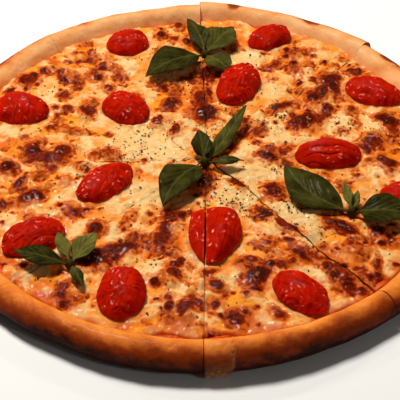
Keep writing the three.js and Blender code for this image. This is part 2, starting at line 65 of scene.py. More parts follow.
camera_data = bpy.data.cameras.new("camera")
camera_data.sensor_width = 36
camera_data.lens = FOCAL_LENGTH / FRAME_SIDE * camera_data.sensor_width
camera = bpy.data.objects.new("camera", camera_data)
scene.collection.objects.link(camera)
forward = Vector((0, math.cos(LOOK_DOWN), -math.sin(LOOK_DOWN)))
upward = Vector((0, math.sin(LOOK_DOWN), math.cos(LOOK_DOWN)))
rightward = Vector((1, 0, 0))
camera_x = rightward * math.cos(ROLL) - upward * math.sin(ROLL)
camera_y = rightward * math.sin(ROLL) + upward * math.cos(ROLL)
turn = Matrix((camera_x, camera_y, -forward)).transposed().to_4x4()
place = Vector((CAMERA_ASIDE, -CAMERA_DISTANCE * math.cos(CAMERA_HEIGHT_ANGLE),
                CAMERA_DISTANCE * math.sin(CAMERA_HEIGHT_ANGLE)))
camera.matrix_world = Matrix.Translation(place) @ turn
scene.camera = camera
print("lens:", round(camera_data.lens, 1), "mm")

# %% [markdown]
# ## Light and floor
# A large soft light overhead shows the colours. Two small ones stand where the camera would see
# them mirrored in the wet skins and the melted fat, and draw pin-point glints there without
# washing the colours out. A weak one in front keeps the near side of the rim readable. The floor
# is plain and pale.

# %% Light and floor
# name, place in metres, side of its square in metres, power in watts, colour
LIGHTS = [
    ("key_light", (-0.26, 0.30, 1.00), 0.24, 12.8, (1.0, 0.965, 0.90)),
    ("glint_light", (0.22, 0.72, 0.70), 0.06, 1.2, (1.0, 0.88, 0.76)),
    ("side_glint_light", (-0.55, 0.48, 0.70), 0.06, 0.8, (1.0, 0.88, 0.76)),
    ("front_light", (0.75, -0.75, 0.80), 0.16, 0.9, (1.0, 0.96, 0.90)),
]
FLOOR_HALF = 3
FLOOR_LEVEL = -0.0004

for name, place, side, power, colour in LIGHTS:
    data = bpy.data.lights.new(name, "AREA")
    data.size = side
    data.energy = power
    data.color = colour
    light = bpy.data.objects.new(name, data)
    light.location = place
    light.rotation_euler = (-Vector(place)).to_track_quat("-Z", "Y").to_euler()
    scene.collection.objects.link(light)

world = bpy.data.worlds.new("studio")
world.use_nodes = True
background = world.node_tree.nodes["Background"]
background.inputs["Color"].default_value = (1.0, 0.93, 0.84, 1)
background.inputs["Strength"].default_value = 0.05
scene.world = world
scene.view_settings.view_transform = "Standard"
scene.view_settings.look = "None"

floor_mesh = bpy.data.meshes.new("floor")
floor_mesh.from_pydata([(x * FLOOR_HALF, y * FLOOR_HALF, FLOOR_LEVEL)
                        for x, y in ((-1, -1), (1, -1), (1, 1), (-1, 1))], [], [(0, 1, 2, 3)])
floor = bpy.data.objects.new("floor", floor_mesh)
scene.collection.objects.link(floor)
floor_finish = bpy.data.materials.new("floor_finish")
floor_finish.use_nodes = True
floor_shader = floor_finish.node_tree.nodes["Principled BSDF"]
floor_shader.inputs["Base Color"].default_value = (0.9, 0.9, 0.9, 1)
floor_shader.inputs["Roughness"].default_value = 0.9
floor_mesh.materials.append(floor_finish)
print("lights:", len(LIGHTS))

# %% [markdown]
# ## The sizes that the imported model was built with
# The detailed pieces have to lie where the solids lie, so the slices, the toppings and the blisters
# are listed once more with the same values. A slice is a wedge between two cuts, given by their
# directions in degrees, and one slice was drawn a little outwards.

# %% Slices and toppings
CUT_CENTRE = np.array([4.0, -1.0])
CUT_WIDTH = 1.0
SAUCE_BOTTOM = 5.3
CHEESE_BOTTOM = 6.9
CHEESE_TOP = 12.2
CHEESE_EDGE = 129.6
SEAT_HEIGHT = 11.8
TOPPING_FLOOR = 12.1

SLICES = [
    ("front_right", -90.5, -50.0, 0.0),
    ("right_front", -50.0, 4.0, 0.0),
    ("right_back", 4.0, 47.0, 0.0),
    ("back_right", 47.0, 92.0, 3.6),
    ("back_left", 92.0, 131.5, 0.0),
    ("left_back", 131.5, 182.5, 0.0),
    ("left_front", 182.5, 225.3, 0.0),
    ("front_left", 225.3, 269.5, 0.0),
]
CUT_SWAYS = {131.5: (4.6, 72.0), -50.0: (1.5, 105.0)}

# name: middle x and y, length, width, turn in degrees, height, taper, how grooved and how wrinkled
TOMATOES = {
    "back_left": (-45, 108, 27, 24, 30, 9, 0, 0.1, 1.0),
    "left": (-104, 41, 34, 26, 170, 10, 0.12, 0.1, 1.1),
    "left_of_middle": (-43, 42, 31, 25, 140, 10, 0, 0.2, 1.2),
    "back_right": (43, 115, 30, 21, 33, 9, 0, 0.2, 1.0),
    "behind_middle": (23, 66, 40, 25, 70, 11, 0, 0.1, 1.3),
    "right_back": (103, 60, 36, 23, 153, 9, 0.1, 0.2, 1.1),
    "right_of_middle": (72, 2, 38, 23, 3, 10, 0, 0.8, 0.6),
    "front_of_middle_left": (-51, -23, 38, 22, 46, 9, 0, 0.2, 1.1),
    "left_front": (-86, -67, 35, 25, 32, 10, 0, 0.5, 1.0),
    "front_left": (-38, -106, 35, 25, 86, 11, 0, 0.1, 1.2),
    "front_right": (51, -105, 34, 22, 133, 9.5, 0, 0.15, 1.2),
    "right_front": (110, -33, 28, 22, 15, 9, 0, 0.2, 0.9),
}
CUT_TOMATO = (8, -64, 43, 28, 84, 11, 0.28, 0.45, 0.8)
ALL_TOMATOES = list(TOMATOES.values()) + [CUT_TOMATO]

# %% [markdown]
# Steam lifts the cheese in blisters, and their tops brown first. The large blisters are relief of
# the imported solids, so they are listed with its values. The browned places are only drawn here;
# three of them are painted shade, under two basil sprigs and in the back cut's gap.

# %% Blisters and browned places
# middle x and y, radius, height: the large blisters of the imported cheese
BLISTERS = [
    (-93, 6, 6, 2.2), (-77, 5, 5, 2), (-88, -32, 7, 2.4), (-50, 1, 6, 2.4),
    (-80, 56, 5, 1.8), (-66, 38, 5, 1.8), (-104, 73, 7, 2), (-52, -82, 9, 3),
    (-35, -76, 5, 2), (-16, -56, 6, 2.2), (-18, -68, 6, 2.2), (-14, -93, 8, 2.8),
    (-6, -114, 8, 2.8), (10, -92, 6, 2), (33, -92, 9, 2.8), (20, -121, 6, 2),
    (40, 7, 7, 3), (40, -27, 7, 2.6), (64, 34, 9, 2.6), (80, 74, 7, 2.4),
    (98, 18, 8, 2.8), (82, -74, 7, 2.6), (96, -60, 6, 2.4), (74, -91, 7, 2),
    (52, 48, 6, 2), (-20, 72, 6, 2), (-70, 84, 6, 1.8), (-22, 30, 5, 1.8),
    (-110, -4, 6, 1.8), (-64, -104, 6, 1.8), (118, -6, 6, 2), (60, -62, 6, 1.8),
]
# the browned places and three painted shadows: middle x and y, half length, half width, turn in
# degrees, darkness
BROWNINGS_AND_SHADOWS = [
    (-54, -81, 11, 8, 10, 0.95), (-39, -73, 12, 5, 10, 0.85), (74, -90, 9.6, 4, 136, 0.58),
    (57, -76, 12, 3.6, 137, 0.58), (-93, 6, 6.5, 5.5, 120, 0.85), (-77, 4, 7, 6, 60, 0.8),
    (-15, -49, 7, 5, 95, 0.8), (-19, -66, 9, 6, 70, 0.75), (57, 33, 8, 6, 10, 0.8),
    (69, 35, 6.4, 4.8, 30, 0.61), (46, -56, 11, 3.5, 140, 0.75), (35, -45, 8, 4, 146, 0.7),
    (-50, 3, 6.4, 5.6, 140, 0.54), (-72, 23, 10, 3.5, 173, 0.5), (40, 6, 6, 5.2, 110, 0.54),
    (-6, -115, 9, 5, 49, 0.75), (40, -28, 8, 6, 105, 0.8), (-91, -34, 9, 5.5, 36, 0.85),
    (79, 74, 9, 5, 24, 0.85), (-103, 72, 8, 6, 19, 0.75), (67, 57, 7, 5.5, 101, 0.65),
    (-54, -60, 7, 5, 64, 0.85), (98, 14, 7.2, 6, 100, 0.68), (19, -122, 7, 5, 113, 0.75),
    (-12, -92, 6.5, 5, 141, 0.75), (-78, 75, 6, 4.8, 140, 0.4), (31, -92, 10, 7, 25, 0.95),
    (49, 47, 10, 3.6, 26, 0.75), (58, 100, 10, 4, 28, 0.55), (82, -72, 6.4, 4.8, 4, 0.54),
    (3, 40, 8, 4, 67, 0.6), (1, 52, 14, 5, 98, 0.75), (-14, 24, 7, 3.8, 78, 0.75),
    (-17, 49, 8, 5, 60, 0.85), (33, 24, 6, 5, 21, 0.55), (-51, 82, 8, 3.4, 133, 0.5),
    (-37, -52, 8, 3.4, 67, 0.4), (6, -89, 5.5, 4.5, 51, 0.75), (-65, 40, 5.5, 4.5, 156, 0.75),
    (9, -100, 6.5, 4, 147, 0.75), (-69, -42, 5.5, 5, 66, 0.45), (34, -71, 7.2, 2.4, 149, 0.43),
    (57, 82, 6.4, 4, 126, 0.55), (-64, 77, 5.5, 4.5, 61, 0.55), (22, -23, 6, 2.6, 117, 0.45),
    (-25, 32, 5, 4.5, 130, 0.7), (44, 86, 5, 4, 18, 0.6), (75, 46, 5, 4, 130, 0.8),
    (-80, 56, 5, 4, 61, 0.65), (109, 34, 9, 5, 138, 0.9), (-16, 114, 4.5, 3.8, 168, 0.6),
    (94, -60, 5.5, 4.5, 105, 0.85), (-77, 43, 4.8, 3.6, 144, 0.7), (27, -81, 6, 3.2, 160, 0.65),
    (-54, 63, 4.2, 3.6, 95, 0.65), (-67, -101, 5, 3.6, 61, 0.65), (-59, -109, 5.5, 2.6, 51, 0.5),
    (-98, -22, 8, 3, 60, 0.8), (-26, 126, 4, 3, 5, 0.5), (90, 32, 4.4, 3, 90, 0.5),
    (-29, 67, 3.4, 3, 20, 0.55), (101, -2, 3.6, 3, 176, 0.75), (-74, 65, 3, 2.8, 157, 0.5),
    (46, -83, 4, 2.4, 173, 0.6), (-67, 101, 3, 2.6, 93, 0.5), (-67, -6, 3.4, 2.4, 29, 0.55),
    # (3, -20) is painted shade under the middle sprig, (3, 78) painted shade in the back cut's gap
    (3, -20, 9, 6, 90, 0.98), (3, 78, 8, 4.5, 90, 0.95), (118, -8, 6, 5, 40, 0.7),
    (-116, -6, 6, 5, 0, 0.6), (-118, -40, 6, 4, 110, 0.7), (112, -58, 6, 4, 30, 0.6),
    (72, 60, 15, 5, 62, 0.75), (-86, -2, 13, 6, 176, 0.7), (75, -98, 7, 5, 122, 0.8),
    (-20, -74, 6.4, 2.8, 45, 0.54), (79, -68, 6.4, 2.9, 65, 0.61), (-106, -10, 6, 5, 47, 0.85),
    (105, -4, 9, 4.4, 146, 0.8), (-18, -57, 7, 3.6, 85, 0.8), (40, -119, 3.8, 3.4, 18, 0.7),
    (91, -84, 6, 2.6, 76, 0.65), (38, 1, 7, 4, 149, 0.85), (62, 33, 9, 6, 76, 0.9),
    # (77, -57) is the painted shadow of the right sprig's leaf
    (77, -57, 11, 4, 135, 0.9), (4, 40, 10, 7, 80, 1.0), (66, -85, 5, 4, 111, 0.8),
    (46, 88, 6, 3, 81, 0.7), (18, -124, 5, 2.6, 163, 0.8), (35, -48, 7, 3, 12, 0.9),
    (-93, 4, 6, 3.4, 16, 0.95), (79, 69, 13, 6, 104, 0.85), (67, 54, 5, 4.5, 5, 0.95),
    (-86, -34, 4.5, 3.2, 100, 0.9), (94, 7, 6, 3.2, 101, 0.85), (-9, -48, 4, 3, 68, 0.95),
    (-105, -40, 5, 2.6, 108, 0.8), (-23, 33, 6, 2.4, 91, 0.8), (104, 36, 5, 3, 125, 0.85),
    (52, -77, 7, 2.6, 130, 0.85), (23, -24, 4, 2.2, 138, 0.8), (47, -66, 5, 2, 159, 0.75),
    (6, 59, 7, 2.8, 107, 0.8), (-63, 43, 6, 2.4, 141, 0.75),
]
print("slices:", len(SLICES), "tomato halves:", len(ALL_TOMATOES))
print("blisters:", len(BLISTERS), "browned places:", len(BROWNINGS_AND_SHADOWS))

# %% [markdown]
# ## Noise
# Nothing on baked food repeats, so most of its relief and colour is made from noise. Gradient noise
# gives soft lumps of one size, and several sizes added up look natural. It is computed with numpy
# instead of a texture, because the same values then shape the mesh and tint it.

# %% Noise helpers
SLOPES = 512  # both counts are powers of two, so that "&" wraps an index round
CELLS = 4096


def noise(x, y, size, seed):
    """Soft lumps from about -1 to 1, each about size across."""
    draw = np.random.RandomState(seed)
    order = draw.permutation(SLOPES)
    angle = draw.uniform(0, 2 * np.pi, SLOPES)
    slope_x, slope_y = np.cos(angle), np.sin(angle)
    i = np.floor(x / size).astype(int)
    j = np.floor(y / size).astype(int)
    u, v = x / size - i, y / size - j

    def corner(di, dj):
        k = order[(order[(i + di) & (SLOPES - 1)] + j + dj) & (SLOPES - 1)]
        return slope_x[k] * (u - di) + slope_y[k] * (v - dj)

    su, sv = u**3 * (u * (u * 6 - 15) + 10), v**3 * (v * (v * 6 - 15) + 10)
    near = corner(0, 0) * (1 - su) + corner(1, 0) * su
    far = corner(0, 1) * (1 - su) + corner(1, 1) * su
    return 1.5 * (near * (1 - sv) + far * sv)


def rough_noise(x, y, size, seed, layers=4):
    """Lumps of several sizes, each layer half as large and half as strong as the last."""
    total, strength = 0, 1
    for layer in range(layers):
        total = total + strength * noise(x, y, size, seed + 17 * layer)
        size, strength = size / 2, strength / 2
    return total / 1.6


probe = np.linspace(0, 50, 201)
print("noise from", round(float(noise(probe, probe, 5, 1).min()), 2), "to",
      round(float(noise(probe, probe, 5, 1).max()), 2))

# %% [markdown]
# Froth and small dashes aren't soft lumps but single shapes side by side. Each gets a cell of a
# square grid and a random place in it, so they fill the surface without lying on a lattice.

# %% Froth and dashes


def cells_near(x, y, size, offset):
    """For the nine cells round each place: a cell's number, and how far its middle is away."""
    i, j = np.floor(x / size).astype(int), np.floor(y / size).astype(int)
    for di in (-1, 0, 1):
        for dj in (-1, 0, 1):
            k = ((i + di) * 73 + (j + dj) * 1031) & (CELLS - 1)
            yield k, x / size - i - di - offset[0][k], y / size - j - dj - offset[1][k]


def bubbles(x, y, size, seed):
    """Round bumps from 0 to 1, packed side by side like froth, each about size across."""
    draw = np.random.RandomState(seed)
    offset = draw.uniform(0.1, 0.9, (2, CELLS))
    height = draw.uniform(0.35, 1, CELLS)
    best = np.zeros_like(x)
    for k, a, b in cells_near(x, y, size, offset):
        best = np.maximum(best, height[k] * np.clip(1 - (np.hypot(a, b) / 0.62) ** 2, 0, 1))
    return best


def strokes(x, y, size, seed):
    """Up to 1 on short bent dashes strewn about size apart, 0 between them."""
    draw = np.random.RandomState(seed)
    offset = draw.uniform(0.2, 0.8, (2, CELLS))
    angle = draw.uniform(0, math.pi, CELLS)
    length = draw.uniform(0.02, 0.34, CELLS)
    strength = np.clip(draw.uniform(-0.9, 1.1, CELLS), 0, 1)
    best = np.zeros_like(x)
    for k, a, b in cells_near(x, y, size, offset):
        along = a * np.cos(angle[k]) + b * np.sin(angle[k])
        across = b * np.cos(angle[k]) - a * np.sin(angle[k]) + 1.2 * along ** 2
        away = np.hypot(np.maximum(np.abs(along) - length[k], 0), across)
        best = np.maximum(best, strength[k] * np.clip(1.7 - away / 0.09, 0, 1))
    return best


print("froth covers", round(float((bubbles(probe, probe, 5, 1) > 0).mean()), 2), "of a line")

# %% [markdown]
# Two more helpers come back everywhere: a soft step from 0 to 1, which gives every stain and edge
# its soft border, and a place within a turned ellipse, since toppings and blisters are oval.

# %% Steps and ellipses


def step(x, low, high):
    """0 below low, 1 above high and smooth between, or the other way round if low is the larger."""
    t = np.clip((x - low) / (high - low), 0, 1)
    return t * t * (3 - 2 * t)


def cos_sin(degrees):
    return math.cos(math.radians(degrees)), math.sin(math.radians(degrees))


def ellipse(x, y, shape):
    """Place along and across a turned ellipse, in half-lengths and half-widths."""
    cx, cy, length, width, turn = shape[:5]
    c, s = cos_sin(turn)
    dx, dy = x - cx, y - cy
    return (dx * c + dy * s) / (length / 2), (dy * c - dx * s) / (width / 2)


print("half a step:", step(np.array([0.25, 0.5, 0.75]), 0, 1))

# %% [markdown]
# ## The cheese as maps
# Melted cheese is one uneven skin: ropes left by its shreds, domed blisters over steam, froth of
# fine bubbles where it browned, and pools of orange fat in its hollows. All of these are drawn into
# square maps of height and of colour shares, seen from above, and the meshes look them up later.
# Maps are easier to build up than a mesh, since one step can add to what another made.

# %% Map of the cheese: height
MAP_STEP = 0.25
MAP_HALF = 137.0
axis = np.arange(-MAP_HALF, MAP_HALF + MAP_STEP / 2, MAP_STEP)
X, Y = np.meshgrid(axis, axis)
RADIUS_MAP = np.hypot(X, Y)


def look_up(chart, x, y):
    """The value of a map at places x, y, blended from its four nearest points."""
    u = np.clip((x + MAP_HALF) / MAP_STEP, 0, len(axis) - 1.001)
    v = np.clip((y + MAP_HALF) / MAP_STEP, 0, len(axis) - 1.001)
    i, j = u.astype(int), v.astype(int)
    u, v = u - i, v - j
    near = chart[j, i] * (1 - u) + chart[j, i + 1] * u
    far = chart[j + 1, i] * (1 - u) + chart[j + 1, i + 1] * u
    return near * (1 - v) + far * v


def window(cx, cy, reach):
    """The part of a map within reach of a place, as a pair of slices."""
    low_x, low_y = (int((c - reach + MAP_HALF) / MAP_STEP) for c in (cx, cy))
    count = int(2 * reach / MAP_STEP) + 2
    return tuple(slice(max(0, low), max(0, low + count)) for low in (low_y, low_x))


def soften(chart, spread):
    """The map blurred over spread mm, by way of its frequencies."""
    f = np.fft.fftfreq(len(axis), MAP_STEP)
    fx, fy = np.meshgrid(f, f)
    blur = np.exp(-2 * (np.pi * spread) ** 2 * (fx**2 + fy**2))
    return np.real(np.fft.ifft2(np.fft.fft2(chart) * blur))


def raise_to(chart, where, values):
    chart[where] = np.maximum(chart[where], values)


print("map of", X.shape, "points")

# %% [markdown]
# The relief starts with ropes and domes. Ropes are the ridges of two noises whose places were
# bent by other noises, as melting shreds are. A dome rises over every blister and browned place.

# %% Map of the cheese: ropes and domes


def cheese_swell(x, y):
    long = np.sin(x * 0.061 + 1.3) * np.cos(y * 0.053 - 0.6)
    short = np.sin(x * 0.21 + y * 0.11) * np.sin(y * 0.19 - x * 0.07 + 2)
    return 0.5 * long + 0.55 * short


drift_x = 5 * noise(X, Y, 17, 3) + 1.6 * noise(X, Y, 6, 4)
drift_y = 5 * noise(X, Y, 17, 5) + 1.6 * noise(X, Y, 6, 6)
ropes = 1 - np.abs(noise(X + drift_x, Y + drift_y, 7.5, 7)) * 2.2
ropes = np.maximum(ropes, 0.9 - np.abs(noise(X - drift_y, Y + drift_x, 5.2, 8)) * 2.4)
ropes = np.clip(ropes, 0, 1) ** 1.5

domes = np.zeros_like(X)
for cx, cy, radius, height in BLISTERS:
    where = window(cx, cy, radius * 1.5)
    away = np.hypot(X[where] - cx, Y[where] - cy) / (radius * 1.08)
    away = away * (1 + 0.16 * noise(X[where], Y[where], 5, 9))
    raise_to(domes, where, height * np.clip(1 - away**2, 0, 1) ** 1.1)
brown = np.zeros_like(X)
for cx, cy, length, width, turn, darkness in BROWNINGS_AND_SHADOWS:
    where = window(cx, cy, length * 2)
    x, y = X[where], Y[where]
    along, across = ellipse(x, y, (cx, cy, 2 * length, 2 * width, turn))
    away = np.hypot(along, across) * (1 + 0.22 * noise(x, y, 5, 10)) + 0.1 * noise(x, y, 2, 11)
    raise_to(brown, where, darkness * step(away, 1.3, 0.4))
    raise_to(brown, where, 0.42 * step(away, 1.8, 0.9))
    raise_to(domes, where, (0.8 + 1.7 * darkness) * np.clip(1 - (away * 0.85) ** 2, 0, 1))
print("domes up to", round(float(domes.max()), 2), "mm")

# %% [markdown]
# The smaller bubbles are scattered by a seeded draw. Each is a low dome, and about half of them
# caught enough heat to brown. They keep off the places that stayed pale.

# %% Map of the cheese: colour shares
# middle x and y, reach, strength
PALE_PLACES = [
    (-24, 14, 26, 1.0), (-40, 8, 14, 0.7), (30, -8, 17, 1.0), (20, -32, 14, 0.9),
    (47, -50, 15, 1.0), (-32, -33, 15, 0.9), (30, 97, 14, 0.8), (81, 31, 13, 0.9),
    (44, 20, 11, 0.8), (-14, -108, 9, 0.8), (16, -92, 8, 0.5), (-58, 34, 9, 0.7),
    (-70, -30, 12, 0.5), (-92, 55, 10, 0.5), (62, 60, 10, 0.4), (105, -15, 12, 0.6),
    (100, -80, 10, 0.5), (-112, 20, 10, 0.4), (-50, 60, 8, 0.5), (0, -80, 9, 0.6),
    (-85, -88, 11, 0.9), (-62, -62, 10, 0.5), (-42, -62, 9, 0.6), (-25, -90, 9, 0.7),
    (-104, -50, 10, 0.7), (-66, -13, 11, 0.6), (-8, -118, 7, 0.7), (52, -62, 12, 0.7),
    (-45, 86, 10, 0.6), (-22, 76, 8, 0.5), (-60, 96, 9, 0.5), (40, 62, 10, 0.6),
    (60, 78, 10, 0.5), (98, 32, 9, 0.6), (-90, 88, 8, 0.4), (62, -88, 8, 0.5),
    (-60, 12, 10, 0.5),
]
ORANGE_PLACES = [
    (-105, 10, 15, 0.9), (-104, -30, 14, 0.9), (34, -62, 15, 1.0), (17, -114, 15, 1.0),
    (-76, -98, 15, 0.9), (-14, 55, 14, 0.9), (110, 12, 14, 0.9), (-70, 94, 16, 0.8),
    (56, 98, 13, 0.8), (15, 10, 10, 0.8), (-40, -70, 12, 0.7), (60, -80, 12, 0.8),
    (0, 118, 14, 0.7), (-118, -15, 12, 0.8), (90, 90, 14, 0.6), (-95, 88, 14, 0.7),
    (-30, -125, 14, 0.8), (90, -88, 12, 0.8), (-20, -75, 10, 0.6),
]
SAUCE_PLACES = [
    (-5, 40, 8, 0.9), (2, 68, 8, 0.6), (25, -84, 7, 0.9), (24, -122, 9, 0.8),
    (-8, -126, 9, 0.7), (-12, -72, 6, 0.5), (78, -96, 9, 0.8), (60, -98, 6, 0.5),
    (-2, 90, 8, 0.6), (0, -24, 8, 0.7),
]


def gather(places):
    """A map that is high round each place and falls to 0 outside its reach, with ragged edges."""
    chart = np.zeros_like(X)
    for cx, cy, reach, strength in places:
        where = window(cx, cy, reach * 1.5)
        x, y = X[where], Y[where]
        away = np.hypot(x - cx, y - cy) / reach
        away = away + 0.3 * noise(x, y, 9, 12) + 0.15 * noise(x, y, 3, 13)
        raise_to(chart, where, strength * step(away, 1.15, 0.45))
    return chart


pale_zone = gather(PALE_PLACES)
orange_zone = gather(ORANGE_PLACES)
sauce = gather(SAUCE_PLACES)

print("pale share of the map:", round(float((pale_zone > 0.5).mean()), 2))

# %% [markdown]
# Froth grows where the melt is thin. The draw is seeded, so every run gives the same bubbles, and
# each of them is a small dome that may be browned.

# %% Map of the cheese: froth
curds = rough_noise(X + drift_x, Y + drift_y, 13, 29, 3) + 0.35 * pale_zone - 0.2 * orange_zone
curds = step(curds, -0.36, 0.34)

FROTH_BUBBLES = 2000

draw = np.random.RandomState(21)
froth = np.zeros_like(X)
for _ in range(FROTH_BUBBLES):
    cx, cy = draw.uniform(-133, 133, 2)
    radius = 1.0 + 3.2 * draw.rand() ** 2
    browned = draw.rand()
    firm = max(0.75 * look_up(curds, cx, cy), look_up(pale_zone, cx, cy))
    if math.hypot(cx, cy) > 132 or firm > 0.05 + draw.rand():
        continue
    where = window(cx, cy, radius * 2.6)
    x, y = X[where], Y[where]
    away = np.hypot(x - cx, (y - cy) * draw.uniform(0.8, 1.3)) / radius
    away = away * (1 + 0.25 * noise(x, y, 2.5, 14))
    raise_to(froth, where, 0.65 * radius**0.8 * np.clip(1 - away**2, 0, 1) ** 1.1)
    if browned > 0.3:
        raise_to(brown, where, (0.35 + 0.6 * draw.rand()) * step(away, 1.3, 0.3))
        raise_to(brown, where, 0.36 * step(away, 2.3, 1.0))

print("froth up to", round(float(froth.max()), 2), "mm")

# %% [markdown]
# Now everything is added up: the height from swell, domes, froth and ropes, and the shares of
# brown, fat and pale curd. Fat gathers in hollows, which are found by softening the height, and
# the hollows are also painted darker, less pale and more browned, as painted shade.

# %% Map of the cheese: height and shares
streaks = step(rough_noise(X + drift_x, Y + drift_y, 9, 30), 0.15, 0.55)
streaks = streaks * (1 - pale_zone) * (1 - 0.6 * curds)
brown = np.maximum(brown, 0.55 * streaks * step(noise(X, Y, 30, 31), -0.6, 0.3))
brown = brown * (1 - 0.5 * np.maximum(pale_zone, 0.6 * curds) * step(brown, 0.65, 0.35))
fine_froth = bubbles(X, Y, 1.7, 32) * step(brown, 0.25, 0.6)
tops = ropes * (1 - step(brown, 0.2, 0.6))
lumps = noise(X + drift_y, Y - drift_x, 4.6, 36) * (1 - step(brown, 0.2, 0.6))
height = CHEESE_TOP + cheese_swell(X, Y) + np.maximum(domes, froth)
height = soften(height + curds - 0.5 + 0.7 * (tops - 0.5), 0.3)
height = height + 0.4 * lumps + 0.25 * fine_froth + 0.16 * rough_noise(X, Y, 2.6, 35, 3)
hollow_fat_and_shade = np.clip((soften(height, 1.6) - height) / 0.45, 0, 1)
oil = 0.6 - 0.8 * curds + 0.8 * orange_zone - 0.6 * pale_zone + 0.45 * rough_noise(X, Y, 20, 33, 4)
oil = np.maximum(step(oil, 0.0, 0.9), 0.55 * hollow_fat_and_shade)
pale = 0.45 * pale_zone + 0.5 * curds + 0.2 * tops + 0.3 * rough_noise(X, Y, 11, 34, 3)
# painted shade: the hollows are made less pale, and browner where the cheese browned
pale = step(pale, 0.25, 0.8) * (1 - 0.6 * hollow_fat_and_shade)
brown = np.clip(brown + 0.25 * hollow_fat_and_shade * step(brown, 0.15, 0.4), 0, 1)
print("browned share of the map:", round(float((brown > 0.4).mean()), 2))

# %% [markdown]
# Toppings lie in seats: under each tomato half the cheese is flat, and round it the melt creeps up
# the skin in a small collar. The skin's red juice tints that collar.

# %% Seats and collars
collar = np.zeros_like(X)
seat = np.zeros_like(X)
for tomato in ALL_TOMATOES:
    where = window(tomato[0], tomato[1], tomato[2] * 0.9)
    x, y = X[where], Y[where]
    along, across = ellipse(x, y, tomato)
    away = (np.hypot(along, across) - 1) * tomato[3] / 2 + 0.7 * noise(x, y, 5, 40)
    raise_to(seat, where, step(away, 5.5, 1.0))
    raise_to(collar, where, step(away, 3.4, 0.2))
height = height + seat * (np.minimum(height, SEAT_HEIGHT + 0.3 * (height - CHEESE_TOP)) - height)
height = height + 0.9 * collar * step(noise(X, Y, 8, 41), -0.7, 0.5)
brown = brown * (1 - 0.75 * collar)
sauce = np.maximum(sauce, 0.55 * collar * step(noise(X, Y, 6, 42), -0.3, 0.6))
near_rim = step(RADIUS_MAP + 2.5 * noise(X, Y, 9, 43), 124, 132)
sauce = np.maximum(sauce, 0.7 * near_rim * step(noise(X, Y, 14, 44) - Y / 300, 0.0, 0.7))
oil = np.maximum(oil, 0.8 * near_rim)
print("cheese from", round(float(height[RADIUS_MAP < 128].min()), 2), "to",
      round(float(height[RADIUS_MAP < 128].max()), 2), "mm high")

# %% [markdown]
# ## Meshes of wedges
# Dough, sauce and cheese are all layers of a wedge. Each is built as rows of points that fan out
# from its tip: over the underside, round the outer edge and back over the top. A row gets as many
# points as its length needs, so that triangles near the tip aren't slivers, and neighbouring rows
# are zipped together. The two cut faces are filled by a Delaunay triangulation with loose points
# inside, which are moved a little to give the crumb of a torn cut.

# %% Wedge helpers
SLICE_ANGLE = math.radians(40)  # the usual angle between two cuts


def direction(degrees):
    return np.stack([np.cos(np.radians(degrees)), np.sin(np.radians(degrees))], -1)


def degrees_apart(first, second):
    return (first - second + 180) % 360 - 180


def sideways(aim):
    """The directions at right angles to given ones, to their right."""
    return np.stack([aim[:, 1], -aim[:, 0]], -1)


def tip_of(start, end):
    half = math.radians(end - start) / 2
    return CUT_CENTRE + direction((start + end) / 2) * CUT_WIDTH / 2 / math.sin(half)


def reach_to(tip, aim, radius):
    along = aim @ tip
    return -along + np.sqrt(along**2 - tip @ tip + radius**2)


def sway_turn(cut, distance):
    bend = CUT_SWAYS.get(cut - 360 if cut > 180 else cut)
    if not bend:
        return 0 * distance
    sway, length = bend
    offset = sway * np.sin(2 * np.pi * distance / length) * ((distance >= 1) & (distance <= length))
    return np.degrees(offset / np.maximum(distance, length / 8))


print("tip of the first slice:", tip_of(*SLICES[0][1:3]).round(2))

# %% [markdown]
# Two rows of points with different counts are joined like a zip: each segment of one row gets a
# triangle to the nearest point of the other. A plain grid of points is simpler to join.

# %% Rows and grids


def zip_rows(first, count, second, next_count):
    """Triangles between two rows of points; each row starts at an index and has count segments."""
    lower, upper = np.arange(count), np.arange(next_count)
    apex = np.round((lower + 0.5) / max(count, 1) * next_count).astype(int)
    beside = np.searchsorted(apex, upper, "right")
    return np.concatenate([np.stack([first + lower, second + apex, first + lower + 1], -1),
                           np.stack([first + beside, second + upper, second + upper + 1], -1)])


def grid_faces(rows, columns):
    """Triangles of a grid of points that are numbered row by row."""
    here = (np.arange(rows - 1)[:, None] * columns + np.arange(columns - 1)[None, :]).ravel()
    return np.concatenate([np.stack([here, here + 1, here + columns + 1], -1),
                           np.stack([here, here + columns + 1, here + columns], -1)])


print("triangles between rows of 3 and 5 segments:", len(zip_rows(0, 3, 4, 5)))

# %% [markdown]
# A mesh takes its points and faces in one go from numpy, which is far quicker than one by one.
# Each new piece rides on the pizza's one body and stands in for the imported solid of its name.

# %% From points to a piece


def build_mesh(name, points, faces, attributes, finish):
    """A mesh object from points in mm, with smooth faces and one value per point and attribute."""
    mesh = bpy.data.meshes.new(name)
    mesh.vertices.add(len(points))
    mesh.vertices.foreach_set("co", (np.asarray(points) / 1000).astype(np.float32).ravel())
    mesh.loops.add(3 * len(faces))
    mesh.loops.foreach_set("vertex_index", np.asarray(faces).astype(np.int32).ravel())
    mesh.polygons.add(len(faces))
    mesh.polygons.foreach_set("loop_start", np.arange(0, 3 * len(faces), 3, dtype=np.int32))
    mesh.polygons.foreach_set("use_smooth", np.ones(len(faces), bool))
    for key, values in attributes.items():
        chart = mesh.attributes.new(key, "FLOAT", "POINT")
        chart.data.foreach_set("value", np.asarray(values, np.float32))
    mesh.update()
    mesh.validate()
    mesh.materials.append(finish)
    piece = bpy.data.objects.new(name, mesh)
    scene.collection.objects.link(piece)
    return piece


def stand_for(piece, slot, *nodes):
    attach(piece, "root")
    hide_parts(*nodes)

# %% [markdown]
# A wedge is built row by row from below to above. A layer is a wedge for each slice, and how a
# row's points are placed is the layer's own function, so one builder serves all three layers.

# %% Wedges and layers


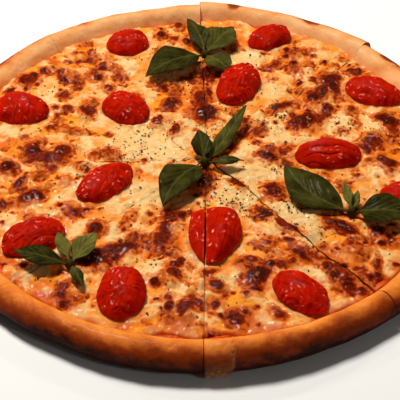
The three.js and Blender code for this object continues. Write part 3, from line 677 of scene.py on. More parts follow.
def build_wedge(name, cut_slice, rows, place_row, cut_crumb, finish):
    """A closed wedge. Each row is (share of the reach, radius, height, spacing, more), and the rows
    run from the tip below to the tip above."""
    _, start, end, push = cut_slice
    tip = tip_of(start, end)
    shift = direction((start + end) / 2) * push
    points, charts, spans = [], [], []
    count_so_far = 0
    for row in rows:
        out, radius, _, spacing, _ = row
        count = int(math.ceil(out * radius * math.radians(end - start) / spacing))
        part = np.arange(count + 1) / max(count, 1)
        distance = out * reach_to(tip, direction(start + (end - start) * part), radius)
        low, high = start + sway_turn(start, distance), end + sway_turn(end, distance)
        aim = direction(low + (high - low) * part)
        xyz, chart = place_row(tip, aim, distance, shift, row, part)
        points.append(xyz)
        charts.append(chart)
        spans.append((count_so_far, count))
        count_so_far += count + 1
    faces = [zip_rows(*below, *above) for below, above in zip(spans[:-1], spans[1:])]
    points = np.concatenate(points)
    charts = {key: np.concatenate([c[key] for c in charts]) for key in charts[0]}
    for side in (0, 1):
        border = np.array([a + side * n for a, n in spans])
        faces_here, points, charts = fill_cut(points, charts, border, tip + shift, side, cut_crumb)
        faces.append(faces_here)
    points[:, 2] = np.maximum(points[:, 2], 0)  # the crumb of a cut stays above the ground
    return build_mesh(name, points, np.concatenate(faces), charts, finish)


def build_layer(piece_name, slot, rows_between, place_row, cut_crumb, finish):
    """The wedges of one layer, each in place of its slice's solid; returns the number of faces."""
    faces = 0
    for cut_slice in SLICES:
        piece = build_wedge(piece_name + cut_slice[0], cut_slice, rows_between(cut_slice[1:3]),
                            place_row, cut_crumb, finish)
        stand_for(piece, slot, slot + "_" + cut_slice[0])
        faces += len(piece.data.polygons)
    return faces

# %% [markdown]
# The ends of the rows border the two cut faces. They are filled with triangles between loose
# points, so that the crumb of a torn cut can be given by moving those points inwards.

# %% Cut faces


def fill_cut(points, charts, border, tip, side, crumb):
    """Closes one cut face: crumb is (spacing of the loose points, how far they are moved)."""
    spacing, depth = crumb
    hand = 1 - 2 * side
    edge = points[border]
    flat = np.stack([np.hypot(edge[:, 0] - tip[0], edge[:, 1] - tip[1]), edge[:, 2]], -1)
    low, high = flat.min(0), flat.max(0)
    draw = np.random.RandomState(50 + side)
    grid = np.stack(np.meshgrid(np.arange(low[0], high[0], spacing),
                                np.arange(low[1], high[1], spacing)), -1).reshape(-1, 2)
    grid = grid + draw.uniform(-0.3, 0.3, grid.shape) * spacing
    loose = [Vector(p) for p in grid]
    ring = [Vector(p) for p in flat]
    new_points, _, new_faces, origins = delaunay_2d_cdt(
        ring + loose, [], [list(range(len(ring)))], 1, 1e-5)[:4]
    index, extra = [], []
    for k, source in enumerate(origins):
        on_edge = [s for s in source if s < len(ring)]
        if on_edge:
            index.append(border[on_edge[0]])
        else:
            index.append(len(points) + len(extra))
            extra.append(new_points[k])
    extra = np.array([[p[0], p[1]] for p in extra]) if extra else np.zeros((0, 2))
    order = np.argsort(flat[:, 0])
    aim = np.stack([np.interp(extra[:, 0], flat[order, 0], (edge[order, c] - tip[c])
                              / np.maximum(flat[order, 0], 1e-6)) for c in (0, 1)], -1)
    aim = aim / np.maximum(np.linalg.norm(aim, axis=1), 1e-9)[:, None]
    outward = sideways(aim) * hand
    sink = depth * (0.5 + 0.5 * rough_noise(extra[:, 0], extra[:, 1], 2.2, 51 + side, 2))
    xy = tip + aim * extra[:, :1] - outward * sink[:, None]
    nearest = border[np.clip(np.searchsorted(flat[order, 0], extra[:, 0]), 0, len(order) - 1)]
    points = np.concatenate([points, np.column_stack([xy, extra[:, 1]])])
    charts = {key: np.append(v, np.full(len(nearest), v[nearest].mean() if len(nearest) else 0))
              for key, v in charts.items()}
    faces = [[index[k] for k in face] for face in new_faces]
    faces = np.array([face for face in faces if len(set(face)) == 3])
    corners = points[faces]
    facing = np.cross(corners[:, 1] - corners[:, 0], corners[:, 2] - corners[:, 0]).sum(0)
    middle = edge[len(edge) // 2, :2] - tip
    wanted = np.array([middle[1], -middle[0]]) * hand
    if facing[:2] @ wanted < 0:
        faces = faces[:, ::-1]
    return faces, points, charts

# %% [markdown]
# ## Finishes: shared effects
# Three effects come back in several finishes. Mottling shifts a colour in patches. Browning runs a
# colour through gold and brown to almost black as a share rises, as baking does. Grain gives a
# height for a Bump node. Each is a node group with named inputs, built once.

# %% Sockets and nodes


def give_inputs(group, inputs):
    """Adds named inputs, each of a kind and with a first value; returns their identifiers."""
    found = {}
    for label, kind, value in inputs:
        socket = group.interface.new_socket(label, in_out="INPUT", socket_type="NodeSocket" + kind)
        if value is not None:
            socket.default_value = value
        found[label] = socket.identifier
    return found


def new_group(name, inputs, output, kind):
    """A shader group, the sockets that its nodes are fed from and the one that takes the result."""
    group = bpy.data.node_groups.new(name, "ShaderNodeTree")
    give_inputs(group, inputs)
    group.interface.new_socket(output, in_out="OUTPUT", socket_type="NodeSocket" + kind)
    given, result = group.nodes.new("NodeGroupInput"), group.nodes.new("NodeGroupOutput")
    return group, given.outputs, result.inputs[output]


def plug(tree, socket, value):
    """Sets an input, or links it where the value is another node's output."""
    if isinstance(value, bpy.types.NodeSocket):
        tree.links.new(value, socket)
    else:
        socket.default_value = value


def add_node(tree, kind, settings=None, **inputs):
    """A node with its settings and inputs; an input is named, or numbered as i0, i1 and so on."""
    node = tree.nodes.new(kind)
    for key, value in (settings or {}).items():
        setattr(node, key, value)
    for key, value in inputs.items():
        numbered = key[0] == "i" and key[1:].isdigit()
        plug(tree, node.inputs[int(key[1:]) if numbered else key.replace("_", " ")], value)
    return node

# %% [markdown]
# Short names for the nodes that come back most keep the recipes of the finishes readable.
# A share is read from an attribute of the mesh, where the maps left it.

# %% Small node helpers


def mix(tree, share, first, second):
    """A colour between two, by a share from 0 to 1."""
    node = add_node(tree, "ShaderNodeMix", {"data_type": "RGBA", "clamp_factor": True},
                    i0=share, i6=first, i7=second)
    return node.outputs[2]


def calc(tree, operation, first, second=0.0, clamp=False):
    node = add_node(tree, "ShaderNodeMath", {"operation": operation, "use_clamp": clamp},
                    i0=first, i1=second)
    return node.outputs[0]


def times(tree, first, second):
    return calc(tree, "MULTIPLY", first, second)


def ease(tree, value, low, high):
    node = add_node(tree, "ShaderNodeMapRange", {"interpolation_type": "SMOOTHSTEP"},
                    Value=value, From_Min=low, From_Max=high)
    return node.outputs[0]


def share(tree, name):
    return add_node(tree, "ShaderNodeAttribute", {"attribute_name": name}).outputs["Fac"]


def cloudy(group, kind, scale, **inputs):
    """A noise or cell texture that stays put on the object."""
    place = add_node(group, "ShaderNodeTexCoord").outputs["Object"]
    return add_node(group, kind, Vector=place, Scale=scale, **inputs)

# %% [markdown]
# The three groups themselves. Browning passes through three colours one after the other, since a
# baked spot has a gold border round brown, and brown round almost black.

# %% Node groups


def make_mottle():
    group, given, result = new_group(
        "mottle", [("Scale", "Float", 60.0), ("Low", "Float", 0.35), ("High", "Float", 0.65)],
        "Share", "Float")
    cloud = cloudy(group, "ShaderNodeTexNoise", given["Scale"], Detail=4.0, Roughness=0.6)
    group.links.new(ease(group, cloud.outputs["Fac"], given["Low"], given["High"]), result)
    return group


def make_browning():
    white = (1, 1, 1, 1)
    group, given, result = new_group(
        "browning", [("Amount", "Float", 0.0), ("Fresh", "Color", white), ("Gold", "Color", white),
                     ("Brown", "Color", white), ("Dark", "Color", white)], "Colour", "Color")
    colour = given["Fresh"]
    for name, low, high in (("Gold", 0.0, 0.36), ("Brown", 0.26, 0.58), ("Dark", 0.54, 0.90)):
        colour = mix(group, ease(group, given["Amount"], low, high), colour, given[name])
    group.links.new(colour, result)
    return group


def make_grain():
    group, given, result = new_group(
        "grain", [("Coarse", "Float", 300.0), ("Fine", "Float", 1200.0), ("Pits", "Float", 0.0)],
        "Height", "Float")
    coarse = cloudy(group, "ShaderNodeTexNoise", given["Coarse"], Detail=3.0).outputs["Fac"]
    fine = cloudy(group, "ShaderNodeTexNoise", given["Fine"], Detail=2.0).outputs["Fac"]
    cells = cloudy(group, "ShaderNodeTexVoronoi", given["Coarse"]).outputs["Distance"]
    pits = times(group, ease(group, cells, 0.0, 0.35), given["Pits"])
    both = calc(group, "ADD", times(group, fine, 0.4), coarse)
    group.links.new(calc(group, "ADD", both, pits), result)
    return group


MOTTLE, BROWNING, GRAIN = make_mottle(), make_browning(), make_grain()


print("node groups:", [group.name for group in (MOTTLE, BROWNING, GRAIN)])

# %% [markdown]
# A finish is a material whose Principled shader is fed by these groups. The last helpers place a
# group in a finish and set the shader's inputs by name.

# %% Finish helpers


def use_group(tree, group, **inputs):
    return add_node(tree, "ShaderNodeGroup", {"node_tree": group}, **inputs).outputs[0]


def mottle(tree, scale, low, high):
    return use_group(tree, MOTTLE, Scale=scale, Low=low, High=high)


def grain(tree, coarse, fine, pits, strength, depth):
    """A Bump node over the grain group; scales are per metre and the depth is in metres."""
    height = use_group(tree, GRAIN, Coarse=coarse, Fine=fine, Pits=pits)
    node = add_node(tree, "ShaderNodeBump", Height=height, Strength=strength, Distance=depth)
    return node.outputs[0]


def new_finish(name):
    """A material and its node tree."""
    material = bpy.data.materials.new(name)
    material.use_nodes = True
    return material, material.node_tree


def set_shader(tree, **inputs):
    for key, value in inputs.items():
        plug(tree, tree.nodes["Principled BSDF"].inputs[key.replace("_", " ")], value)


print("finish helpers: use_group, mottle, grain, new_finish, set_shader")

# %% [markdown]
# ## Finish: the cheese
# The melt is cream where it stayed cool, yellow to orange where fat pooled, and gold, brown and
# nearly black on the blisters. The shares come from the maps, as attributes of the mesh's points.
# The browned skin has a fine grain that catches the light, and fat makes all of it glossy. Short
# pale streaks are painted highlights, glints on beads of fat painted into the colour, and the pale
# specks on the browned places are partly froth and partly painted highlights.

# %% Cheese finish


def make_cheese_finish():
    material, tree = new_finish("cheese_finish")
    speckle, patch = mottle(tree, 420.0, 0.35, 0.7), mottle(tree, 95.0, 0.3, 0.7)
    cloud = mottle(tree, 52.0, 0.38, 0.62)
    melt = mix(tree, patch, (0.80, 0.26, 0.045, 1), (0.88, 0.38, 0.085, 1))
    fat = mix(tree, cloud, (0.74, 0.14, 0.009, 1), (0.86, 0.29, 0.018, 1))
    melt = mix(tree, share(tree, "oil"), melt, fat)
    curd = mix(tree, patch, (0.84, 0.48, 0.15, 1), (0.84, 0.58, 0.29, 1))
    curd = mix(tree, times(tree, cloud, 0.7), curd, (0.70, 0.44, 0.17, 1))
    melt = mix(tree, share(tree, "pale"), melt, curd)
    juice = mix(tree, speckle, (0.36, 0.014, 0.003, 1), (0.62, 0.055, 0.007, 1))
    melt = mix(tree, times(tree, share(tree, "sauce"), 0.9), melt, juice)
    browned = share(tree, "brown")
    uneven = times(tree, calc(tree, "SUBTRACT", speckle, 0.5), 0.22)
    amount = calc(tree, "ADD", browned, uneven, clamp=True)
    amount = times(tree, amount, ease(tree, browned, 0.02, 0.2))
    colour = use_group(tree, BROWNING, Amount=amount, Fresh=melt, Gold=(0.62, 0.12, 0.010, 1),
                       Brown=(0.22, 0.014, 0.002, 1), Dark=(0.060, 0.005, 0.001, 1))
    # pale specks on the browned places: froth, and partly painted highlights
    froth_and_glint_specks = times(tree, mottle(tree, 850.0, 0.58, 0.72), ease(tree, browned, 0.35, 0.7))
    colour = mix(tree, times(tree, froth_and_glint_specks, 0.3), colour, (0.62, 0.17, 0.040, 1))
    # painted highlights: pale streaks that stand in for glints on beads of fat
    glint_colour = mix(tree, ease(tree, browned, 0.15, 0.5), (0.98, 0.74, 0.50, 1), (0.80, 0.24, 0.11, 1))
    colour = mix(tree, times(tree, share(tree, "wet"), 0.75), colour, glint_colour)
    set_shader(tree, Base_Color=colour, Roughness=calc(tree, "ADD", times(tree, patch, 0.06), 0.15),
               Coat_Weight=0.14, Coat_Roughness=0.05, Specular_IOR_Level=0.0,
               Normal=grain(tree, 700.0, 2200.0, 0.3, 0.4, 0.0004))
    return material


CHEESE_FINISH = make_cheese_finish()
print("made", CHEESE_FINISH.name)

# %% [markdown]
# ## The cheese slices
# The top follows the height map, with rows every 0.4 mm. Its edges sag towards the cuts, where the
# wheel pressed them, and the outer edge runs out over the sauce in an uneven line.

# %% Cheese slices
CHEESE_SPACING = 0.42
UNDER_ROWS = 26


def cheese_rows(cuts):
    rows = [(0, CHEESE_EDGE, CHEESE_BOTTOM, 1, None)]
    for k in range(1, UNDER_ROWS):
        spacing = 6.0 if k < UNDER_ROWS - 2 else 1.2
        rows.append((k / UNDER_ROWS, CHEESE_EDGE - 2, CHEESE_BOTTOM, spacing, None))
    rows.append((1, CHEESE_EDGE - 1.5, CHEESE_BOTTOM, 0.6, None))
    for level in (7.3, 8.0, 8.8):
        rows.append((1, CHEESE_EDGE, level, CHEESE_SPACING, None))
    count = int(CHEESE_EDGE / CHEESE_SPACING)
    for k in range(count, -1, -1):
        rows.append((k / count, CHEESE_EDGE, None, CHEESE_SPACING, cuts))
    return rows


# where the cheese stops short of the rim and the sauce shows: turn and half width in degrees
SAUCE_SHOWS = [(-96, 3.5), (-85, 3.0), (-46, 2.0), (-140, 1.5), (160, 3.0), (75, 2.5), (20, 3.0)]


def edge_reach(turn):
    """How far the cheese's outer edge strays from its circle, in mm."""
    x, y = 60 * np.cos(turn), 60 * np.sin(turn)
    short = sum(np.exp(-(degrees_apart(np.degrees(turn), place) / width) ** 2)
                for place, width in SAUCE_SHOWS)
    ragged = 0.9 * noise(x, y, 7, 60) + 0.5 * noise(x, y, 2.1, 61)
    return np.clip(5.0 + ragged - 4 * short, 1.0, 5.8)


# cut: width of its gap at the cheese, and how much of the gap the melt has closed again
CLOSED_CUTS = {
    -90.5: (1.0, 0.78), -50.0: (1.0, 0.1), 4.0: (1.0, 0.95), 47.0: (2.4, 0.97), 92.0: (2.4, 0.9),
    131.5: (1.0, 0.9), 182.5: (1.0, 0.9), 225.3: (1.0, 0.95), 269.5: (1.0, 0.78),
}


def melt_over(cut, distance):
    """How far the cheese has crept over a cut at each distance from the middle, in mm."""
    gap, closed = CLOSED_CUTS[cut]
    line = distance + 300 + cut
    creep = closed + 0.35 * noise(line, cut, 9, 63) + 0.2 * noise(line, 0.0, 2.5, 64)
    return (gap / 2 - 0.06) * np.clip(creep, 0, 1)


print("rows of a cheese slice:", len(cheese_rows(SLICES[0][1:3])))

# %% [markdown]
# A point of the top takes its height and its shares from the maps. Near a cut it creeps over the
# gap and sinks a little, and near the rim it runs out thin.

# %% Cheese slices: placing the points


def place_cheese(tip, aim, distance, shift, row, part):
    share_out, _, level, _, cuts = row
    xy = tip + aim * distance[:, None] + shift
    turn = np.arctan2(xy[:, 1], xy[:, 0])
    outer = step(distance / np.maximum(reach_to(tip, aim, CHEESE_EDGE), 1), 0.9, 1)
    xy = xy + direction(np.degrees(turn)) * (edge_reach(turn) * outer)[:, None]
    if level is None:
        z = look_up(height, xy[:, 0], xy[:, 1])
        from_edge = (1 - share_out) * CHEESE_EDGE
        width = distance * SLICE_ANGLE
        from_cut = np.minimum(part, 1 - part) * width
        creep = np.where(part < 0.5, melt_over(cuts[0], distance), -melt_over(cuts[1], distance))
        creep = creep * np.abs(1 - 2 * part) * np.clip(1 - from_cut / 5, 0, 1) * step(width, 1, 8)
        xy = xy + sideways(aim) * creep[:, None]
        z = z - 0.7 * np.clip(1 - from_cut / 1.1, 0, 1) ** 2 * step(width, 0, 6)
        thin = step(from_edge + 1.5 * noise(xy[:, 0], xy[:, 1], 7, 62), 11, 0)
        z = z - 0.6 * thin - 1.2 * np.clip(1 - from_edge / 1.3, 0, 1) ** 2
    else:
        z = np.full(len(part), level)
    x, y = xy.T
    charts = {key: look_up(chart, x, y)
              for key, chart in (("brown", brown), ("oil", oil), ("pale", pale), ("sauce", sauce))}
    # painted highlights: short pale streaks for glints on beads of fat, strewn in patches
    charts["wet"] = strokes(x, y, 3.8, 66) * step(noise(x, y, 6, 67), -0.1, 0.2)
    return np.column_stack([xy, z]), charts


print("cheese faces:", build_layer("cheese_top_", "cheese", cheese_rows, place_cheese, (1.1, 0.25),
                                   CHEESE_FINISH))

# %% [markdown]
# ## Finish: the crust
# Baked dough is gold on top, browner down its side and darkest where it touched the hot stone or
# pan; the near-black low on its side is partly painted shade, and the paler back is painted light.
# It is dry, with fine pores and small pits, so a Bump node adds grain finer than the mesh.

# %% Crust finish


def make_crust_finish():
    material, tree = new_finish("crust_finish")
    patch, speckle = mottle(tree, 110.0, 0.3, 0.7), mottle(tree, 620.0, 0.4, 0.75)
    amount = calc(tree, "ADD", share(tree, "bake"), times(tree, patch, 0.10))
    amount = calc(tree, "ADD", amount, times(tree, speckle, 0.05), clamp=True)
    # painted light: the back of the rim gets paler, pinker dough colours
    fresh = mix(tree, share(tree, "fair"), (0.92, 0.36, 0.065, 1), (0.86, 0.46, 0.19, 1))
    gold = mix(tree, share(tree, "fair"), (0.72, 0.18, 0.022, 1), (0.74, 0.26, 0.065, 1))
    colour = use_group(tree, BROWNING, Amount=amount, Fresh=fresh, Gold=gold,
                       Brown=(0.30, 0.038, 0.005, 1), Dark=(0.026, 0.004, 0.001, 1))
    colour = mix(tree, share(tree, "flour"), colour, (0.56, 0.22, 0.075, 1))
    colour = mix(tree, share(tree, "stain"), colour, (0.62, 0.10, 0.012, 1))
    set_shader(tree, Base_Color=colour, Roughness=calc(tree, "ADD", times(tree, patch, 0.12), 0.40),
               Coat_Weight=0.035, Coat_Roughness=0.2, Specular_IOR_Level=0.03,
               Normal=grain(tree, 520.0, 1800.0, 0.5, 0.28, 0.0005))
    return material


CRUST_FINISH = make_crust_finish()
print("made", CRUST_FINISH.name)

# %% [markdown]
# ## The crust slices
# The section of the dough runs flat under the base, round the raised rim and down to the sauce. It
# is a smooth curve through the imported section's points. The hand-made rim swells and strays along
# its way, has low lumps and pores, and at the front cut a torn lip was dragged out and down.

# %% Section of the crust
# radius, height, and the shares of outline wave, height swell and torn lip
DOUGH_SECTION = np.array([
    (140, 0, 0.3, 0, 0), (145, 0.9, 1, 0, 2.2), (148.6, 4, 1, 0.2, 2), (150, 8.4, 1, 0.4, 0.5),
    (149.2, 12.4, 1, 0.8, 0.2), (146.4, 16, 0.8, 1, 0), (142.2, 17.5, 0.6, 1, 0),
    (138.2, 15.8, 0.3, 0.8, 0), (135, 11.5, 0, 0.2, 0), (132, 5, 0, 0, 0),
])
BASE_HEIGHT = 5.0
FLAT_RADIUS = 140
INNER_RADIUS = 132
RIM_RADIUS = 145
CRUST_SPACING = 0.5


def smooth_curve(points, spacing):
    """Points along a smooth curve through given ones (all columns are blended alike)."""
    padded = np.concatenate([[2 * points[0] - points[1]], points, [2 * points[-1] - points[-2]]])
    made = []
    for k in range(1, len(padded) - 2):
        a, b, c, d = padded[k - 1:k + 3]
        for t in np.arange(0, 1, spacing / np.linalg.norm((c - b)[:2])):
            made.append(0.5 * (2 * b + (c - a) * t + (2 * a - 5 * b + 4 * c - d) * t**2
                               + (3 * b - 3 * c + d - a) * t**3))
    return np.array(made + [points[-1]])


def crust_rows(cuts):
    rows = [(k / 60, FLAT_RADIUS, 0.0, 2.4, (cuts, None)) for k in range(60)]
    curve = smooth_curve(DOUGH_SECTION, CRUST_SPACING)
    slope = np.gradient(curve[:, :2], axis=0)
    slope = slope / np.linalg.norm(slope, axis=1)[:, None]
    way = np.concatenate([[0], np.cumsum(np.linalg.norm(np.diff(curve[:, :2], axis=0), axis=1))])
    for point, (along_r, along_z), gone in zip(curve, slope, way):
        more = (along_z, -along_r, gone, *point[2:])
        rows.append((1, point[0], max(point[1], 0), CRUST_SPACING, (cuts, more)))
    rows += [(k / 12, INNER_RADIUS, BASE_HEIGHT, 8.0, (cuts, None)) for k in range(11, -1, -1)]
    return rows


print("rows of a crust slice:", len(crust_rows(SLICES[0][1:3])))

# %% [markdown]
# No hand-made rim is a true circle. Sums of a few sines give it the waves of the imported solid,
# which has to match, and the front cut gets its lip of torn skin.

# %% Waves, lip and closed cuts


def outline_wave(turn):
    return 0.7 * np.sin(3 * turn + 0.5) + 0.4 * np.sin(8 * turn + 2.1) + 0.3 * np.sin(13 * turn)


def height_wave(turn):
    return 0.7 * np.sin(4 * turn + 1.2) + 0.5 * np.sin(9 * turn + 0.3) + 0.3 * np.sin(17 * turn)


def torn_lip(xy):
    from_cut = xy[:, 0] - CUT_CENTRE[0]
    return (xy[:, 1] < 0) * step(from_cut, -0.5, 0.5) * step(from_cut, 15, 9)


def raised_skin(xy, gone):
    """1 on the strip of dough skin that was lifted beside the front cut, 0 off it."""
    from_cut = xy[:, 0] - CUT_CENTRE[0]
    ragged = 0.5 * np.sin(1.1 * gone) + 0.4 * np.sin(2.7 * gone + 1)
    end = 12.6 + ragged - 4 * step(gone, 13, 9)
    strip = step(from_cut, -0.5, 0.5) * step(from_cut, end + 0.5, end)
    return (xy[:, 1] < 0) * strip * (4 < gone < 30)


# how much of each cut through the rim has closed again at its top; further down all are closed
CLOSED_RIMS = {
    -90.5: 0.75, -50.0: 0.5, 4.0: 0.93, 47.0: 0.8, 92.0: 0.97, 131.5: 0.93, 182.5: 0.93,
    225.3: 0.93, 269.5: 0.75,
}
CLOSED_BELOW = 0.96


def rim_creep(cut, level):
    """How far a slice's dough has swelled back into a cut, in mm."""
    closed = CLOSED_BELOW + (CLOSED_RIMS[cut] - CLOSED_BELOW) * step(level, 3, 6)
    return (CLOSED_CUTS[cut][0] / 2 - 0.02) * closed

# %% [markdown]
# The bottom and outer side bake hardest, and painted shade darkens the low outer side further.
# On top the colour follows the section, with scorched places where the oven's wall was near, and
# flour stays in the torn skin. The left of the rim has painted shade, its back painted light, and a
# painted highlight runs down the edge of the lifted skin.

# %% Baked places of the crust
# how baked the section is, from under its outer edge up over the rim and down its inner side;
# low on the outer side it is partly painted shade
BAKE_AND_SHADE_ALONG = [1.0, 0.96, 0.86, 0.72, 0.58, 0.43, 0.30, 0.19, 0.12, 0.16]

# turn in degrees, place along the section in mm, half length, half width, darkness
SCORCHES = [
    (82, 27, 5, 5, 0.4), (62, 25, 8, 5, 0.45), (38, 24, 8, 4, 0.4), (120, 27, 6, 4, 0.12),
    (150, 22, 9, 5, 0.12), (-70, 12, 12, 4, 0.12), (-120, 14, 12, 4, 0.12), (10, 24, 8, 4, 0.15),
    (200, 18, 10, 5, 0.12),
]


def place_flat(xy, level):
    """Dough off the rim: the underside is baked in spots and floured, the top is hidden."""
    x, y = xy.T
    nothing = np.zeros(len(xy))
    bake, flour = nothing + 0.1, nothing
    if level < 1:
        spots = step(noise(x, y, 9, 71), 0.15, 0.6)
        bake = 0.3 + 0.25 * (0.5 + 0.5 * rough_noise(x, y, 22, 70)) + 0.3 * spots
        flour = 0.5 * step(noise(x, y, 14, 72), 0.1, 0.6)
    charts = {"bake": bake, "flour": flour, "stain": nothing, "fair": nothing}
    return np.column_stack([xy, nothing + level]), charts


def rim_relief(x, y, gone, bare, degrees):
    """How far the rim's skin rises from its smooth section, in mm."""
    lift = (0.45 * noise(x + gone * 0.8, y - gone * 0.6, 15, 73)
            + 0.12 * noise(x - gone, y + gone, 6, 74)
            + 0.2 * bubbles(x + 0.7 * gone, y + 0.7 * gone, 10, 75) * step(gone, 12, 20)
            - 0.12 * step(bubbles(x - 0.8 * gone, y + 0.6 * gone, 4, 76), 0.55, 0.9)
            + 0.04 * rough_noise(x + gone, y - gone, 1.6, 77, 2))
    fold = np.abs(noise(0.6 * degrees + 40, gone + 4 * noise(x, y, 20, 81), 5, 82))
    crease = np.clip(1 - 4 * fold, 0, 1) ** 2 * step(noise(x, y, 30, 83), 0.0, 0.4)
    lift = lift - 0.22 * crease * step(bare[:, 1], 40, -40) * (gone > 8)
    lift = lift + 0.45 * raised_skin(bare, gone)
    return lift * (step(gone, 2, 8) * step(gone, 47, 38))


def rim_charts(x, y, gone, bare, degrees, lift):
    """The rim's baked colour and painted light and shade, where it is torn and floury, or stained
    by sauce.
    """
    skin = raised_skin(bare, gone)
    bake = np.interp(gone, [0, 8, 13, 17, 20, 23, 26, 29, 33, 40], BAKE_AND_SHADE_ALONG)
    bake = bake + 0.17 * rough_noise(x + gone, y - gone, 16, 78) + 0.10 * lift * (gone > 12)
    # painted shade: the left of the rim is made darker
    bake = bake + 0.08 * step(bare[:, 0], -70, -130) * (gone > 20)
    # painted light: the back of the rim is made lighter; the lifted skin is paler
    bake = bake - 0.10 * step(bare[:, 1], 0, 110) * step(gone, 18, 26) - 0.12 * skin
    for angle, along, length, width, dark in SCORCHES:
        apart = np.radians(degrees_apart(degrees, angle)) * RIM_RADIUS
        away = np.hypot(apart / length, (gone - along) / width)
        away = away * (1 + 0.3 * noise(x, y + gone, 5, 79))
        bake = bake + dark * step(away, 1.2, 0.4)
    # painted highlight: a thin light line along the edge of the lifted skin, added to the flour
    # share
    from_hem = bare[:, 0] - CUT_CENTRE[0] - 13.0
    hem_highlight = np.exp(-(from_hem / 0.8) ** 2) * (bare[:, 1] < 0) * (14 < gone < 27)
    torn = 0.3 + 0.5 * step(noise(x, 1.3 * gone, 2.2, 85), 0.0, 0.4)
    flour = torn * torn_lip(bare) * step(gone, 18, 8) + 0.06 * skin + 0.35 * hem_highlight
    return {"bake": np.clip(bake, 0, 1), "flour": np.clip(flour, 0, 1) * (gone < 34),
            "stain": 0.75 * step(gone, 36, 44) * step(noise(x, y, 9, 83), -0.5, 0.5),
            # painted light: share of the paler back of the rim
            "fair": step(bare[:, 1] + 20 * noise(x, y, 40, 84), -30, 90)}


print("scorched places:", len(SCORCHES))

# %% [markdown]
# Each point of the rim is moved out along its section by waves and relief. The dough under the
# filling stays flat, since only its underside can ever be seen.

# %% Crust slices


def place_crust(tip, aim, distance, shift, row, part):
    _, radius, level, _, (cuts, more) = row
    bare = tip + aim * distance[:, None]
    from_cut = np.minimum(part, 1 - part) * distance * SLICE_ANGLE
    creep = np.where(part < 0.5, rim_creep(cuts[0], level), -rim_creep(cuts[1], level))
    creep = creep * np.clip(1 - from_cut / 7, 0, 1) * step(distance, 60, 120)
    swelled = shift + sideways(aim) * creep[:, None]
    if more is None:
        return place_flat(bare + swelled, level)
    out_r, out_z, gone, wave, swell, lip = more
    turn = np.arctan2(bare[:, 1], bare[:, 0])
    spot = RIM_RADIUS * np.cos(turn), RIM_RADIUS * np.sin(turn), gone, bare, np.degrees(turn)
    lift = rim_relief(*spot)
    reach = radius + wave * outline_wave(turn) + lip * torn_lip(bare) + out_r * lift
    xy = tip + aim * reach_to(tip, aim, reach)[:, None] + swelled
    z = np.maximum(level + swell * height_wave(turn) + out_z * lift, 0)
    return np.column_stack([xy, z]), rim_charts(*spot, lift)


print("crust faces:", build_layer("dough_", "crust", crust_rows, place_crust, (0.9, 0.25),
                                  CRUST_FINISH))

# %% [markdown]
# ## The sauce
# Tomato sauce lies between dough and cheese, and shows as a moist red line where the cheese stops
# short of the rim, and in the cuts. It is lumpy there, with orange fat on it.

# %% Sauce finish and slices
SAUCE_SECTION = np.array([
    (131.4, 5.3), (133.2, 8.0), (134.4, 9.8), (133.8, 10.3), (132.4, 10.2), (130.6, 9.7),
    (128.4, 9.1), (126.0, 8.4), (123.0, 6.6),
])


def make_sauce_finish():
    material, tree = new_finish("sauce_finish")
    patch, speckle = mottle(tree, 160.0, 0.35, 0.65), mottle(tree, 700.0, 0.45, 0.7)
    colour = mix(tree, patch, (0.42, 0.022, 0.004, 1), (0.62, 0.085, 0.010, 1))
    colour = mix(tree, times(tree, speckle, 0.6), colour, (0.75, 0.2, 0.03, 1))
    set_shader(tree, Base_Color=colour, Roughness=0.25, Coat_Weight=0.2, Coat_Roughness=0.06,
               Specular_IOR_Level=0.1, Normal=grain(tree, 600.0, 1700.0, 0.3, 0.4, 0.0005))
    return material


def sauce_rows(_):
    rows = [(k / 10, 130, SAUCE_BOTTOM, 8.0, False) for k in range(10)]
    rows += [(1, r, z, 0.6, z > 6.7) for r, z in smooth_curve(SAUCE_SECTION, 0.6)]
    rows += [(k / 14, 122.5, SAUCE_BOTTOM + 1.3, 6.0, False) for k in range(13, -1, -1)]
    return rows


def place_sauce(tip, aim, distance, shift, row, part):
    _, _, level, _, lumpy = row
    xy = tip + aim * distance[:, None] + shift
    x, y = xy.T
    lumps = 0.5 * noise(x, y, 6, 90) + 0.3 * bubbles(x, y, 2.6, 91)
    return np.column_stack([xy, level + lumps * lumpy]), {}


print("sauce faces:", build_layer("tomato_sauce_", "sauce", sauce_rows, place_sauce, (1.2, 0.2),
                                  make_sauce_finish()))

# %% [markdown]
# ## Finish: roasted tomato skin
# The skin is thin, taut in places and shrivelled in others, deep red and wet with fat. Light and
# shade are painted into its colour: the ridges of the wrinkles are lighter and the grooves and
# folds between them darker, and short pink streaks are painted glints. A thin coat over a dull base
# gives the small hard glints.

# %% Tomato finish


def make_tomato_finish():
    material, tree = new_finish("tomato_finish")
    patch, speckle = mottle(tree, 130.0, 0.3, 0.7), mottle(tree, 900.0, 0.55, 0.75)
    # painted light and shade: lighter on ridge crests, darker in grooves and folds
    colour = mix(tree, share(tree, "ridge_light_and_fold_shade"), (0.21, 0.0018, 0.0005, 1), (0.52, 0.007, 0.0007, 1))
    colour = mix(tree, times(tree, patch, 0.35), colour, (0.68, 0.024, 0.0012, 1))
    colour = mix(tree, times(tree, speckle, 0.12), colour, (0.72, 0.05, 0.006, 1))
    # painted highlights: short pale pink streaks that stand in for glints
    colour = mix(tree, share(tree, "painted_skin_glint"), colour, (1.0, 0.30, 0.22, 1))
    set_shader(tree, Base_Color=colour, Roughness=0.4, Coat_Weight=0.1, Coat_Roughness=0.04,
               Specular_IOR_Level=0.0, Normal=grain(tree, 520.0, 1300.0, 0.3, 0.25, 0.0004))
    return material


TOMATO_FINISH = make_tomato_finish()
print("made", TOMATO_FINISH.name)

